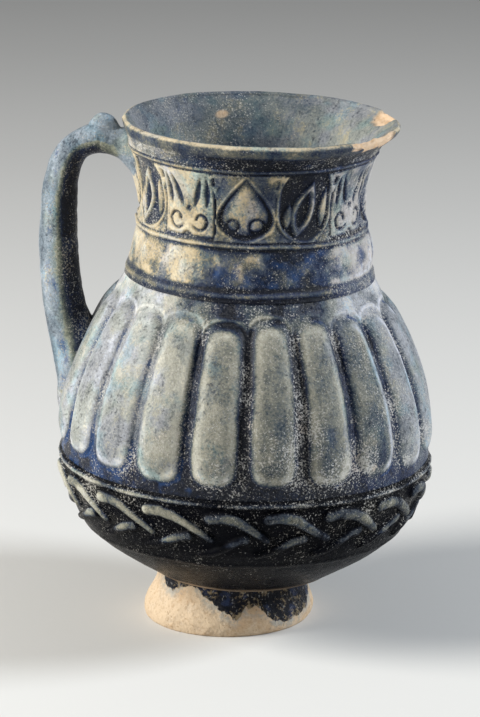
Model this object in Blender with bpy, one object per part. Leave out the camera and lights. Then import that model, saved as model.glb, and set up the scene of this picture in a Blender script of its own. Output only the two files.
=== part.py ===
"""Moulded ceramic pitcher: a lobed jug luted together from pressed and thrown clay pieces.

Metres, +Z up. The jug stands on its foot, with the handle towards -X and the pouring side towards +X.
The foot stands upright. Everything above it hangs from an empty that leans as the real pot does, and is
modelled about the pot's own axis. The part's origin is on the table, under the middle of the jug.
"""
import math

import bmesh
import bpy
from mathutils import Matrix

# Joints: a film of slip lies between luted pieces
SLIP_GAP = 0.0003

# Lean of the pot on its foot
POT_OFFSET = 0.0052
LEAN = math.radians(1.62)

# Foot ring
FOOT_HEIGHT = 0.0185
FOOT_BASE_RADIUS = 0.0308
FOOT_WIDEST_RADIUS = 0.0320
FOOT_WIDEST_HEIGHT = 0.0035
FOOT_TOP_RADIUS = 0.0278
FOOT_INNER_RADIUS = 0.0220
FOOT_TOP_DRIFT = 0.0019
FOOT_PULLS = (0.45, 0.55)
FOOT_COLUMNS = 36

# Walls
WALL = 0.0040
FLOOR = 0.0050

# Lower bowl, from the foot's seat up to the belly seam
BOWL_HEIGHT = 0.0468
BELLY_RADIUS = 0.0696
SEAT_MARGIN = 0.0012
BOWL_LOW_SWELL = 0.0060
BOWL_HIGH_SWELL = 0.0014
BOWL_PULLS = (0.08, 0.36)

# Fluted body, from the belly seam up to the shoulder seam
BODY_HEIGHT = 0.0677
BODY_SWELL = 0.0036
SHOULDER_RADIUS = 0.0472
SHOULDER_SWELL = 0.0180
BODY_PULLS = (0.28, 0.62)
LOBE_COUNT = 20
LOBE_DEPTH = 0.0030
LOBE_STEP = 0.0010
LOBE_ABOVE_SEAM = 0.0036
LOBE_BELOW_SHOULDER = 0.0067
LOBE_FADE = 0.0110
LOBE_SHARE = 0.90
LOBE_ROUNDNESS = 2.8
LOBE_TURN = math.radians(17.2)
LOBE_SPOTS = (-1.0, -0.86, -0.52, 0.0, 0.52, 0.86)
LOBE_END = 0.0100
LOBE_END_ROWS = (0.12, 0.45, 1.0)

# Neck, from the shoulder seam up to the mouth seam
NECK_HEIGHT = 0.0495
NECK_TOP_RADIUS = 0.0466
NECK_LOW_DRAW = 0.0046
NECK_HIGH_DRAW = 0.0085
NECK_PULLS = (0.29, 0.66)
NECK_TURN = math.radians(-137.5)

# Mouth, from the mouth seam up to the lip
MOUTH_HEIGHT = 0.0090
LIP_RADIUS = 0.0510
LIP_THICKNESS = 0.0024
LIP_DRIFT = 0.0026
MOUTH_FLARE = 0.0014
MOUTH_PULLS = (0.42, 0.54)
MOUTH_COLUMNS = 40

# Raised beads that frame the pressed bands
BEAD_RISE = 0.0012
BEAD_HALF = 0.0016
BELLY_BEAD_BELOW_SEAM = 0.0020
BRAID_LOW_BEAD = 0.0190
SHOULDER_BEAD = 0.0025
FRIEZE_LOW_BEAD = 0.0200
MOUTH_BEAD_BELOW_SEAM = 0.0018

# Braid pressed round the lower bowl: hooked strands that run down to the right and turn back under
STRAND_COUNT = 19
STRAND_RISE = 0.0017
STRAND_TOP_HALF = 0.0017
STRAND_FOOT_HALF = 0.0040
STRAND_END_RISE = 0.6
STRAND_LEAD = 0.30
STRAND_TURN = math.radians(-163.7)
# From a strand's tucked end up to its start: share of the band's height, and run round the bowl in pitches
STRAND_HOOK = ((0.20, 0.78), (0.345, 1.09), (0.48, 0.98), (0.66, 0.70), (0.83, 0.39))

# Leaf frieze pressed round the neck
LEAF_COUNT = 12
LEAF_RISE = 0.0011
LEAF_EDGE = 0.0009
LEAF_WIDTH = 0.0158
SLIM_LEAF_WIDTH = 0.0112
LEAF_TIP_WIDTH = 0.0030
LEAF_ABOVE_BEAD = 0.0028
LEAF_BELOW_SEAM = 0.0042
LEAF_BELLY = 0.62

# Handle: a rolled rod from the body's shoulder to the neck, behind the pot's side
HANDLE_RADIUS = 0.0070
HANDLE_LOW_RADIUS = 0.0083
HANDLE_HIGH_RADIUS = 0.0058
HANDLE_ARCH_RADIUS = 0.0049
FINGER_GAP = 0.0236
HANDLE_LOW_BELOW_SHOULDER = 0.0460
HANDLE_OUT_BELOW_MOUTH = 0.0312
HANDLE_ARCH_BELOW_MOUTH = 0.0018
HANDLE_ARCH_FROM_NECK = 0.0140
HANDLE_HIGH_BELOW_MOUTH = 0.0107
HANDLE_BITE = 0.0040
HANDLE_LOW_BITE = 0.0074
HANDLE_TURN = math.radians(-6.0)
HANDLE_LOW_DIRECTION = math.radians(107.5)
HANDLE_HIGH_DIRECTION = math.radians(-45.0)
HANDLE_PULL = 0.37
HANDLE_STEPS = 9
HANDLE_ROUND_STEPS = 2

# Thumb rest: a pinched knob seated on the handle's arch
THUMB_HEIGHT = 0.0103
THUMB_RADIUS = 0.0098
THUMB_WAIST = 0.0056
THUMB_WAIST_PULL = 0.35
THUMB_CROWN = 0.0053
THUMB_PINCH = 0.48
THUMB_TO_NECK = 0.0009
THUMB_STRIDE = 8
THUMB_COLUMNS = 16

# Luting coils: strips of clay pressed over the seams inside the pot
COIL_HEIGHT = 0.0120
COIL_THICKNESS = 0.0026
COIL_FLAT = 0.6
COIL_COLUMNS = 22

CURVE_STEPS = 48
MERGE_DISTANCE = 0.000001
SMOOTH_ANGLE = math.radians(42.0)


# Curves in (radius, height)

def blend(a, b, share):
    return a + (b - a) * share


def curve(start, start_pull, end_pull, end):
    """Points along a cubic curve that leaves start towards start_pull and reaches end from end_pull."""
    points = []
    for step in range(CURVE_STEPS + 1):
        t = step / CURVE_STEPS
        s = 1.0 - t
        weights = (s ** 3, 3 * s * s * t, 3 * s * t * t, t ** 3)
        corners = (start, start_pull, end_pull, end)
        points.append(tuple(sum(w * c[axis] for w, c in zip(weights, corners)) for axis in (0, 1)))
    return points


def arc(middle_radius, middle_height, radius, sweep, steps):
    """Points of a round edge, from its outer side over its top."""
    angles = [sweep * step / steps for step in range(steps + 1)]
    return [(middle_radius + radius * math.cos(a), middle_height + radius * math.sin(a)) for a in angles]


def radius_at(wall, height):
    """Radius of a rising curve at a height; the end radii carry on past its ends."""
    for (low_radius, low), (high_radius, high) in zip(wall, wall[1:]):
        if height <= high:
            return blend(low_radius, high_radius, max(0.0, (height - low) / (high - low)))
    return wall[-1][0]


def inside_of(wall, thickness):
    """The wall curve's inner face, square to the wall."""
    inner = []
    for index, (radius, height) in enumerate(wall):
        before = wall[max(0, index - 1)]
        after = wall[min(len(wall) - 1, index + 1)]
        along = (after[0] - before[0], after[1] - before[1])
        length = math.hypot(*along)
        inner.append((radius - thickness * along[1] / length, height + thickness * along[0] / length))
    return inner


def evenly(low, high, count):
    """Heights between low and high, ends left out."""
    return [blend(low, high, step / (count + 1)) for step in range(1, count + 1)]


def bead_rows(centre):
    return [centre - BEAD_HALF, centre, centre + BEAD_HALF]


def rows_with_beads(wall, heights, beads):
    """Outer profile points at the given heights, raised where a bead has its crest."""
    return [(radius_at(wall, z) + (BEAD_RISE if z in beads else 0.0), z) for z in heights]


# Wall shapes of the stacked pieces, each measured up from its own lower seam

SEAT_RADIUS = FOOT_TOP_RADIUS + abs(POT_OFFSET - FOOT_TOP_DRIFT) + SEAT_MARGIN
BOWL_WALL = curve((SEAT_RADIUS, 0.0), (SEAT_RADIUS + BOWL_LOW_SWELL, BOWL_HEIGHT * BOWL_PULLS[0]),
                  (BELLY_RADIUS - BOWL_HIGH_SWELL, BOWL_HEIGHT * BOWL_PULLS[1]), (BELLY_RADIUS, BOWL_HEIGHT))
BODY_WALL = curve((BELLY_RADIUS + LOBE_STEP / 2, 0.0),
                  (BELLY_RADIUS + BODY_SWELL, BODY_HEIGHT * BODY_PULLS[0]),
                  (SHOULDER_RADIUS + SHOULDER_SWELL, BODY_HEIGHT * BODY_PULLS[1]),
                  (SHOULDER_RADIUS, BODY_HEIGHT))
NECK_WALL = curve((SHOULDER_RADIUS - LOBE_STEP / 2, 0.0),
                  (SHOULDER_RADIUS - NECK_LOW_DRAW, NECK_HEIGHT * NECK_PULLS[0]),
                  (NECK_TOP_RADIUS - NECK_HIGH_DRAW, NECK_HEIGHT * NECK_PULLS[1]),
                  (NECK_TOP_RADIUS, NECK_HEIGHT))
LIP_EDGE = LIP_THICKNESS / 2
MOUTH_WALL = curve((NECK_TOP_RADIUS, 0.0), (NECK_TOP_RADIUS + MOUTH_FLARE, MOUTH_HEIGHT * MOUTH_PULLS[0]),
                   (LIP_RADIUS - LIP_EDGE, MOUTH_HEIGHT * MOUTH_PULLS[1]),
                   (LIP_RADIUS, MOUTH_HEIGHT - LIP_EDGE))
SHOULDER_SEAM = BOWL_HEIGHT + BODY_HEIGHT
MOUTH_SEAM = SHOULDER_SEAM + NECK_HEIGHT


# Mesh building

def turn(profile, columns, closed):
    """Skin made by turning a profile once round the axis."""
    skin = bmesh.new()
    verts = [skin.verts.new((radius, 0.0, height)) for radius, height in profile]
    edges = [skin.edges.new(pair) for pair in zip(verts, verts[1:])]
    if closed:
        edges.append(skin.edges.new((verts[-1], verts[0])))
    bmesh.ops.spin(skin, geom=verts + edges, axis=(0.0, 0.0, 1.0), cent=(0.0, 0.0, 0.0),
                   angle=math.tau, steps=columns, use_merge=True)
    bmesh.ops.remove_doubles(skin, verts=skin.verts, dist=MERGE_DISTANCE)
    bmesh.ops.recalc_face_normals(skin, faces=skin.faces)
    return skin


def press(skin, wall, relief):
    """Moves the outer points of a turned wall as the mould does.

    relief takes and gives a point as radius, angle and height.
    """
    for vert in skin.verts:
        radius = math.hypot(vert.co.x, vert.co.y)
        if radius < radius_at(wall, vert.co.z) - WALL / 2:
            continue
        radius, angle, height = relief(radius, math.atan2(vert.co.y, vert.co.x), vert.co.z)
        vert.co = (radius * math.cos(angle), radius * math.sin(angle), height)


def finish(name, skin, colour, roughness, parent, height=0.0, turned=0.0):
    """Named object for a piece, with its own glaze or clay, set on the pot's axis."""
    mesh = bpy.data.meshes.new(name)
    skin.to_mesh(mesh)
    skin.free()
    mesh.shade_smooth()
    mesh.set_sharp_from_angle(angle=SMOOTH_ANGLE)
    material = bpy.data.materials.new(name + "_finish")
    material.use_nodes = True
    shader = material.node_tree.nodes["Principled BSDF"]
    shader.inputs["Base Color"].default_value = (*colour, 1.0)
    shader.inputs["Roughness"].default_value = roughness
    shader.inputs["Metallic"].default_value = 0.0
    mesh.materials.append(material)
    piece = bpy.data.objects.new(name, mesh)
    bpy.context.scene.collection.objects.link(piece)
    piece.parent = parent
    piece.location.z = height
    piece.rotation_euler.z = turned
    return piece


def cutter(name, skin, parent, height=0.0, turned=0.0):
    """Hidden solid that cuts a seat."""
    piece = finish(name, skin, (0.5, 0.5, 0.5), 0.5, parent, height, turned)
    piece.hide_render = True
    piece.display_type = "WIRE"
    return piece


def cut_seat(piece, tool):
    seat = piece.modifiers.new("seat_" + tool.name, "BOOLEAN")
    seat.operation = "DIFFERENCE"
    seat.solver = "EXACT"
    seat.object = tool


def empty(name, parent=None):
    marker = bpy.data.objects.new(name, None)
    bpy.context.scene.collection.objects.link(marker)
    marker.parent = parent
    return marker


# Foot ring

def foot_ring(parent):
    flare = curve((FOOT_WIDEST_RADIUS, FOOT_WIDEST_HEIGHT), (FOOT_WIDEST_RADIUS, FOOT_HEIGHT * FOOT_PULLS[0]),
                  (FOOT_TOP_RADIUS, FOOT_HEIGHT * FOOT_PULLS[1]), (FOOT_TOP_RADIUS, FOOT_HEIGHT - SLIP_GAP))
    heights = evenly(FOOT_WIDEST_HEIGHT, FOOT_HEIGHT, 4)
    outside = [(FOOT_BASE_RADIUS, 0.0), (FOOT_WIDEST_RADIUS, FOOT_WIDEST_HEIGHT)]
    outside += [(radius_at(flare, z), z) for z in heights] + [flare[-1]]
    inside = [(FOOT_INNER_RADIUS, FOOT_HEIGHT - SLIP_GAP), (FOOT_INNER_RADIUS, 0.0)]
    skin = turn(outside + inside, FOOT_COLUMNS, closed=True)
    for vert in skin.verts:
        share = vert.co.z / FOOT_HEIGHT
        vert.co.x += FOOT_TOP_DRIFT * share
        vert.co.z -= (vert.co.x - POT_OFFSET) * math.tan(LEAN) * share
    return finish("foot_ring", skin, (0.70, 0.58, 0.44), 0.85, parent)


# Lower bowl with its braid

STRAND_LOW = BRAID_LOW_BEAD + BEAD_HALF
STRAND_HIGH = BOWL_HEIGHT - BELLY_BEAD_BELOW_SEAM - BEAD_HALF
STRAND_PITCH = math.tau * BELLY_RADIUS / STRAND_COUNT
STRAND_SPOTS = (-STRAND_FOOT_HALF, -STRAND_TOP_HALF, STRAND_TOP_HALF, STRAND_FOOT_HALF, STRAND_PITCH / 2)
STRAND_LINE = [(run * STRAND_PITCH, blend(STRAND_LOW, STRAND_HIGH, share)) for share, run in STRAND_HOOK]
STRAND_RISES = [(0.0, STRAND_LOW), (STRAND_END_RISE, STRAND_LINE[0][1]), (1.0, STRAND_LINE[1][1]),
                (1.0, STRAND_LINE[-1][1]), (0.0, STRAND_HIGH)]


def braid_relief(radius, angle, height):
    """Hooked strands: five columns follow each strand's line, and the inner two stand proud."""
    turns = angle % math.tau / math.tau * STRAND_COUNT
    strand = int(turns + 0.5 / len(STRAND_SPOTS))
    column = round((turns - strand) * len(STRAND_SPOTS))
    raised = radius_at(STRAND_RISES, height) if column in (1, 2) else 0.0
    run = STRAND_PITCH * STRAND_LEAD + STRAND_SPOTS[column] + radius_at(STRAND_LINE, height)
    return radius + STRAND_RISE * raised, math.tau * strand / STRAND_COUNT + run / BELLY_RADIUS, height


def lower_bowl(parent):
    belly_bead = BOWL_HEIGHT - BELLY_BEAD_BELOW_SEAM
    heights = evenly(0.0, BRAID_LOW_BEAD - BEAD_HALF, 3) + bead_rows(BRAID_LOW_BEAD)
    heights += [height for run, height in STRAND_LINE] + bead_rows(belly_bead)
    heights = [0.0] + heights + [BOWL_HEIGHT]
    outside = rows_with_beads(BOWL_WALL, heights, (BRAID_LOW_BEAD, belly_bead))
    inner = inside_of(BOWL_WALL, WALL)
    inner_heights = [BOWL_HEIGHT] + evenly(FLOOR, BOWL_HEIGHT, 3)[::-1] + [FLOOR]
    inside = [(radius_at(inner, z), z) for z in inner_heights]
    profile = [(0.0, 0.0)] + outside + inside + [(0.0, FLOOR)]
    skin = turn(profile, STRAND_COUNT * len(STRAND_SPOTS), closed=False)
    press(skin, BOWL_WALL, braid_relief)
    return finish("lower_bowl", skin, (0.035, 0.050, 0.110), 0.35, parent, turned=STRAND_TURN)


# Fluted body with its lobes

LOBE_LOW = LOBE_ABOVE_SEAM
LOBE_HIGH = BODY_HEIGHT - LOBE_BELOW_SHOULDER


def lobe_relief(radius, angle, height):
    """Rounded lobes with round ends, standing in a ground that sinks away from both seams."""
    turns = angle % math.tau / math.tau * LOBE_COUNT
    lobe = int(turns + 0.5 / len(LOBE_SPOTS))
    across = LOBE_SPOTS[round((turns - lobe) * len(LOBE_SPOTS))]
    half_pitch = math.pi * radius / LOBE_COUNT
    half = LOBE_SHARE * half_pitch
    past_end = max(0.0, LOBE_LOW + half - height, height + half - LOBE_HIGH)
    sideways = abs(across) * half_pitch
    reach = (sideways ** LOBE_ROUNDNESS + past_end ** LOBE_ROUNDNESS) ** (1.0 / LOBE_ROUNDNESS)
    crown = math.sqrt(1.0 - min(1.0, reach / half) ** 2)
    sunk = min(1.0, min(height, BODY_HEIGHT - height) / LOBE_FADE)
    turned = (lobe + (1.0 + across) / 2) / LOBE_COUNT * math.tau
    return radius - blend(LOBE_STEP, LOBE_DEPTH, sunk) * (1.0 - crown), turned, height


def body_outside():
    ends = [LOBE_LOW] + [LOBE_LOW + LOBE_END * share for share in LOBE_END_ROWS]
    tops = [LOBE_HIGH - LOBE_END * share for share in LOBE_END_ROWS[::-1]] + [LOBE_HIGH]
    heights = [SLIP_GAP] + ends + evenly(ends[-1], tops[0], 3) + tops + [BODY_HEIGHT]
    return [(radius_at(BODY_WALL, z), z) for z in heights]


def fluted_body(parent):
    inner = inside_of(BODY_WALL, WALL + LOBE_DEPTH)
    inner[0] = (BELLY_RADIUS - WALL, SLIP_GAP)
    inner[-1] = (SHOULDER_RADIUS - LOBE_STEP / 2 - WALL, BODY_HEIGHT)
    inner_heights = [BODY_HEIGHT] + evenly(SLIP_GAP, BODY_HEIGHT, 3)[::-1] + [SLIP_GAP]
    inside = [(radius_at(inner, z), z) for z in inner_heights]
    skin = turn(body_outside() + inside, LOBE_COUNT * len(LOBE_SPOTS), closed=True)
    press(skin, BODY_WALL, lobe_relief)
    return finish("fluted_body", skin, (0.20, 0.25, 0.33), 0.38, parent, BOWL_HEIGHT, LOBE_TURN)


# Neck with its leaf frieze

LEAF_LOW = FRIEZE_LOW_BEAD + LEAF_ABOVE_BEAD
LEAF_HIGH = NECK_HEIGHT - LEAF_BELOW_SEAM
LEAF_COLUMNS = 6


def within_leaf(height):
    """Whether a height lies inside the leaves' band, its edges left out."""
    return LEAF_LOW + MERGE_DISTANCE < height < LEAF_HIGH - MERGE_DISTANCE


def leaf_half_width(share, width):
    """Half width of a drop-shaped leaf: full and round low down, drawn to a point at the top."""
    return blend(LEAF_TIP_WIDTH, width, math.sin(math.pi * share ** LEAF_BELLY)) / 2


def leaf_relief(radius, angle, height):
    """Leaves wide and slim by turns: columns part along each outline, and what lies inside is raised."""
    turns = angle % math.tau / math.tau * LEAF_COUNT
    leaf = int(turns + 0.5 / LEAF_COLUMNS)
    column = round((turns - leaf) * LEAF_COLUMNS)
    share = min(1.0, max(0.0, (height - LEAF_LOW) / (LEAF_HIGH - LEAF_LOW)))
    half = leaf_half_width(share, LEAF_WIDTH if leaf % 2 else SLIM_LEAF_WIDTH)
    pitch = math.tau * radius / LEAF_COUNT
    across = (0.0, pitch / 2 - half - LEAF_EDGE, pitch / 2 - half, pitch / 2, pitch / 2 + half,
              pitch / 2 + half + LEAF_EDGE)[column]
    raised = column in (2, 3, 4) and within_leaf(height)
    turned = (leaf + across / pitch) / LEAF_COUNT * math.tau
    return radius + (LEAF_RISE if raised else 0.0), turned, height


def neck_outside():
    top_bead = NECK_HEIGHT - MOUTH_BEAD_BELOW_SEAM
    heights = [SLIP_GAP] + bead_rows(SHOULDER_BEAD)
    heights += evenly(SHOULDER_BEAD + BEAD_HALF, FRIEZE_LOW_BEAD - BEAD_HALF, 2) + bead_rows(FRIEZE_LOW_BEAD)
    heights += [LEAF_LOW] + evenly(LEAF_LOW, LEAF_HIGH, 5) + [LEAF_HIGH] + bead_rows(top_bead) + [NECK_HEIGHT]
    return rows_with_beads(NECK_WALL, heights, (SHOULDER_BEAD, FRIEZE_LOW_BEAD, top_bead))


def neck(parent):
    inner = inside_of(NECK_WALL, WALL)
    inner_heights = [NECK_HEIGHT] + evenly(SLIP_GAP, NECK_HEIGHT, 3)[::-1] + [SLIP_GAP]
    inside = [(radius_at(inner, z), z) for z in inner_heights]
    skin = turn(neck_outside() + inside, LEAF_COUNT * LEAF_COLUMNS, closed=True)
    press(skin, NECK_WALL, leaf_relief)
    return finish("neck", skin, (0.13, 0.16, 0.24), 0.42, parent, SHOULDER_SEAM, NECK_TURN)


# Mouth with its rolled lip

def drift(skin, seam):
    """The lip was pulled out towards the pouring side, from the mouth seam up."""
    for vert in skin.verts:
        vert.co.x += LIP_DRIFT * max(0.0, (vert.co.z - seam) / MOUTH_HEIGHT)


def mouth_outside():
    return [(radius_at(MOUTH_WALL, z), z) for z in [SLIP_GAP] + evenly(0.0, MOUTH_HEIGHT - LIP_EDGE, 3)]


def mouth(parent):
    rolled = arc(LIP_RADIUS - LIP_EDGE, MOUTH_HEIGHT - LIP_EDGE, LIP_EDGE, math.pi, 4)
    inside_low = NECK_TOP_RADIUS - WALL
    throat = curve((inside_low, SLIP_GAP), (inside_low, MOUTH_HEIGHT * MOUTH_PULLS[0]),
                   (rolled[-1][0] - LIP_EDGE, MOUTH_HEIGHT * MOUTH_PULLS[1]), rolled[-1])
    inside = [(radius_at(throat, z), z) for z in evenly(SLIP_GAP, rolled[-1][1], 2)[::-1] + [SLIP_GAP]]
    skin = turn(mouth_outside() + rolled + inside, MOUTH_COLUMNS, closed=True)
    drift(skin, 0.0)
    return finish("mouth", skin, (0.34, 0.38, 0.38), 0.40, parent, MOUTH_SEAM)


# Core of the pot: its outside and the film of slip on it, for cutting the seats of what is luted on

def pot_core(parent):
    outside = [(radius, z + BOWL_HEIGHT) for radius, z in body_outside()]
    for radius, z in neck_outside():
        leaf = LEAF_RISE if within_leaf(z) else 0.0
        outside.append((radius + leaf, z + SHOULDER_SEAM))
    outside += [(radius, z + MOUTH_SEAM) for radius, z in mouth_outside()]
    top = MOUTH_SEAM + MOUTH_HEIGHT
    outside += [(LIP_RADIUS, top - LIP_EDGE), (LIP_RADIUS, top + SLIP_GAP)]
    profile = [(radius + SLIP_GAP, z) for radius, z in outside]
    profile = [(0.0, profile[0][1])] + profile + [(0.0, profile[-1][1])]
    skin = turn(profile, LOBE_COUNT * len(LOBE_SPOTS), closed=False)

    def lobes_below_shoulder(radius, angle, height):
        if height > SHOULDER_SEAM:
            return radius, angle, height
        radius, angle, own_height = lobe_relief(radius, angle, height - BOWL_HEIGHT)
        return radius, angle, height

    press(skin, outside, lobes_below_shoulder)
    bmesh.ops.rotate(skin, verts=skin.verts, matrix=Matrix.Rotation(LOBE_TURN, 3, "Z"))
    drift(skin, MOUTH_SEAM)
    return cutter("pot_core", skin, parent)


# Handle and thumb rest

def handle_stations():
    """The rod's middle line as (x, z, direction, rod radius), from the body up and over to the neck."""
    low_z = SHOULDER_SEAM - HANDLE_LOW_BELOW_SHOULDER
    low_x = radius_at(BODY_WALL, low_z - BOWL_HEIGHT) - HANDLE_LOW_BITE
    waist = min(radius for radius, height in NECK_WALL)
    out_x = waist + FINGER_GAP + HANDLE_RADIUS
    arch_z = MOUTH_SEAM - HANDLE_ARCH_BELOW_MOUTH
    high_z = MOUTH_SEAM - HANDLE_HIGH_BELOW_MOUTH
    high_x = radius_at(NECK_WALL, high_z - SHOULDER_SEAM) - HANDLE_BITE
    out_z = MOUTH_SEAM - HANDLE_OUT_BELOW_MOUTH
    arch_x = high_x + HANDLE_BITE + HANDLE_ARCH_FROM_NECK
    return [(-low_x, low_z, HANDLE_LOW_DIRECTION, HANDLE_LOW_RADIUS),
            (-out_x, out_z, math.pi / 2, HANDLE_RADIUS),
            (-arch_x, arch_z, 0.0, HANDLE_ARCH_RADIUS),
            (-high_x, high_z, HANDLE_HIGH_DIRECTION, HANDLE_HIGH_RADIUS)]


def rod(fattened):
    """Mesh of the handle's rod along its stations."""
    path = bpy.data.curves.new("handle_path", "CURVE")
    path.dimensions = "3D"
    path.resolution_u = HANDLE_STEPS
    path.bevel_depth = 1.0
    path.bevel_resolution = HANDLE_ROUND_STEPS
    path.use_fill_caps = True
    spline = path.splines.new("BEZIER")
    stations = handle_stations()
    spline.bezier_points.add(len(stations) - 1)
    for index, (x, z, direction, radius) in enumerate(stations):
        point = spline.bezier_points[index]
        before = stations[max(0, index - 1)]
        after = stations[min(len(stations) - 1, index + 1)]
        back = HANDLE_PULL * math.hypot(x - before[0], z - before[1])
        ahead = HANDLE_PULL * math.hypot(after[0] - x, after[1] - z)
        along_x = math.cos(direction)
        along_z = math.sin(direction)
        point.handle_left_type = "FREE"
        point.handle_right_type = "FREE"
        point.co = (x, 0.0, z)
        point.handle_left = (x - along_x * back, 0.0, z - along_z * back)
        point.handle_right = (x + along_x * ahead, 0.0, z + along_z * ahead)
        point.radius = radius + fattened
    holder = bpy.data.objects.new("handle_path", path)
    bpy.context.scene.collection.objects.link(holder)
    bpy.context.view_layer.update()
    mesh = bpy.data.meshes.new_from_object(holder.evaluated_get(bpy.context.evaluated_depsgraph_get()))
    bpy.data.objects.remove(holder)
    skin = bmesh.new()
    skin.from_mesh(mesh)
    bpy.data.meshes.remove(mesh)
    bmesh.ops.remove_doubles(skin, verts=skin.verts, dist=MERGE_DISTANCE)
    bmesh.ops.recalc_face_normals(skin, faces=skin.faces)
    return skin


def handle(parent, core):
    piece = finish("handle", rod(0.0), (0.17, 0.22, 0.31), 0.40, parent, turned=HANDLE_TURN)
    cut_seat(piece, core)
    return piece, cutter("handle_core", rod(SLIP_GAP), parent, turned=HANDLE_TURN)


def thumb_rest(parent, cores):
    arch = handle_stations()[2]
    side = curve((THUMB_RADIUS, 0.0), (THUMB_WAIST, THUMB_HEIGHT * THUMB_WAIST_PULL),
                 (THUMB_CROWN, THUMB_HEIGHT), (0.0, THUMB_HEIGHT))
    profile = [(0.0, 0.0)] + side[::THUMB_STRIDE]
    skin = turn(profile, THUMB_COLUMNS, closed=False)
    for vert in skin.verts:
        vert.co.x += arch[0] + THUMB_TO_NECK
        vert.co.y *= THUMB_PINCH
        vert.co.z += arch[1]
    piece = finish("thumb_rest", skin, (0.20, 0.25, 0.33), 0.40, parent, turned=HANDLE_TURN)
    for core in cores:
        cut_seat(piece, core)
    return piece


# Luting coils inside the seams

def luting_coil(name, parent, seam, inner_below, inner_above, rise):
    """Strip lying on the inside of a seam; rise is the seam's height above the lower piece's own base."""
    low = rise - COIL_HEIGHT / 2
    high = COIL_HEIGHT / 2
    backed = [(radius_at(inner_below, z), z - rise) for z in (low, blend(low, rise, 0.5), rise)]
    backed += [(radius_at(inner_above, z), z) for z in (high / 2, high)]
    outside = [(radius - 2 * SLIP_GAP, z) for radius, z in backed]
    crown = min(radius for radius, z in outside) - COIL_THICKNESS
    inside = [(crown, high * COIL_FLAT), (crown, -high * COIL_FLAT)]
    skin = turn(outside + inside, COIL_COLUMNS, closed=True)
    return finish(name, skin, (0.62, 0.50, 0.38), 0.9, parent, seam)


# Assembly

def centre_on_origin(root, pieces):
    """Slides the whole jug along X until its middle stands over the origin."""
    bpy.context.view_layer.update()
    graph = bpy.context.evaluated_depsgraph_get()
    reach = []
    for piece in pieces:
        seen = piece.evaluated_get(graph)
        reach += [(seen.matrix_world @ vert.co).x for vert in seen.data.vertices]
    root.location.x -= (min(reach) + max(reach)) / 2


def main():
    for old in list(bpy.data.objects):
        bpy.data.objects.remove(old)
    root = empty("pitcher")
    pot = empty("pot_axis", root)
    pot.location = (POT_OFFSET, 0.0, FOOT_HEIGHT)
    pot.rotation_euler.y = LEAN
    pieces = [foot_ring(root), lower_bowl(pot), fluted_body(pot), neck(pot), mouth(pot)]
    core = pot_core(pot)
    grip, grip_core = handle(pot, core)
    pieces += [grip, thumb_rest(pot, (grip_core, core))]
    body_inner = inside_of(BODY_WALL, WALL + LOBE_DEPTH)
    pieces += [luting_coil("belly_luting_coil", pot, BOWL_HEIGHT, inside_of(BOWL_WALL, WALL), body_inner,
                           BOWL_HEIGHT),
               luting_coil("neck_luting_coil", pot, SHOULDER_SEAM, body_inner, inside_of(NECK_WALL, WALL),
                           BODY_HEIGHT)]
    centre_on_origin(root, pieces)


main()
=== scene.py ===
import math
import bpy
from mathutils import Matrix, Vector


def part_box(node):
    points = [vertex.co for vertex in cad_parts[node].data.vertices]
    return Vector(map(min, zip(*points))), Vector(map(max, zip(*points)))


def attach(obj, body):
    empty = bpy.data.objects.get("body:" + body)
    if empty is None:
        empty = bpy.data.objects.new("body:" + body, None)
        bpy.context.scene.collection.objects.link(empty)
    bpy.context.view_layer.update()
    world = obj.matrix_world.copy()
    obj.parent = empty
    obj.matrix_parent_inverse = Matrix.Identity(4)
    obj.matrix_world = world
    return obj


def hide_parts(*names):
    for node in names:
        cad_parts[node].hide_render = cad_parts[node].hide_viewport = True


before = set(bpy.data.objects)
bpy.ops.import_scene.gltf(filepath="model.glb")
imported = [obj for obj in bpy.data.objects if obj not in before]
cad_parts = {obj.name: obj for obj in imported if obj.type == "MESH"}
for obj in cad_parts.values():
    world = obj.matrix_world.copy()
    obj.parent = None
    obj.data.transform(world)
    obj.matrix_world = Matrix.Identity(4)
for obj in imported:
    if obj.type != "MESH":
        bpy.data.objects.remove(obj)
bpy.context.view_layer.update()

# Looks of the moulded jug: each solid gets a finely pressed skin in worn cobalt glaze. Metres, +Z up.
from types import SimpleNamespace

import bmesh
import bpy
import numpy as np
from mathutils import Matrix, Vector, noise

# Pot on its foot, as the solids stand
LEAN = math.radians(1.62)
POT_OFFSET = 0.0052
FOOT_HEIGHT = 0.0185
FOOT_BASE_RADIUS = 0.0308
FOOT_WIDEST_RADIUS = 0.0320
FOOT_WIDEST_HEIGHT = 0.0035
FOOT_TOP_RADIUS = 0.0278
FOOT_INNER_RADIUS = 0.0220
FOOT_TOP_DRIFT = 0.0019
FOOT_PULLS = (0.45, 0.55)
FOOT_ROUND = (0.0007, 0.0002)
FOOT_FLAT = 0.0002
foot_low, foot_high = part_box("foot_ring")
FOOT_X = (foot_low.x + foot_high.x) / 2 - FOOT_TOP_DRIFT * FOOT_WIDEST_HEIGHT / FOOT_HEIGHT
FOOT_PLACE = Matrix.Translation((FOOT_X, 0.0, 0.0))
POT_PLACE = Matrix.Translation((FOOT_X + POT_OFFSET, 0.0, FOOT_HEIGHT)) @ Matrix.Rotation(LEAN, 4, "Y")

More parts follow.
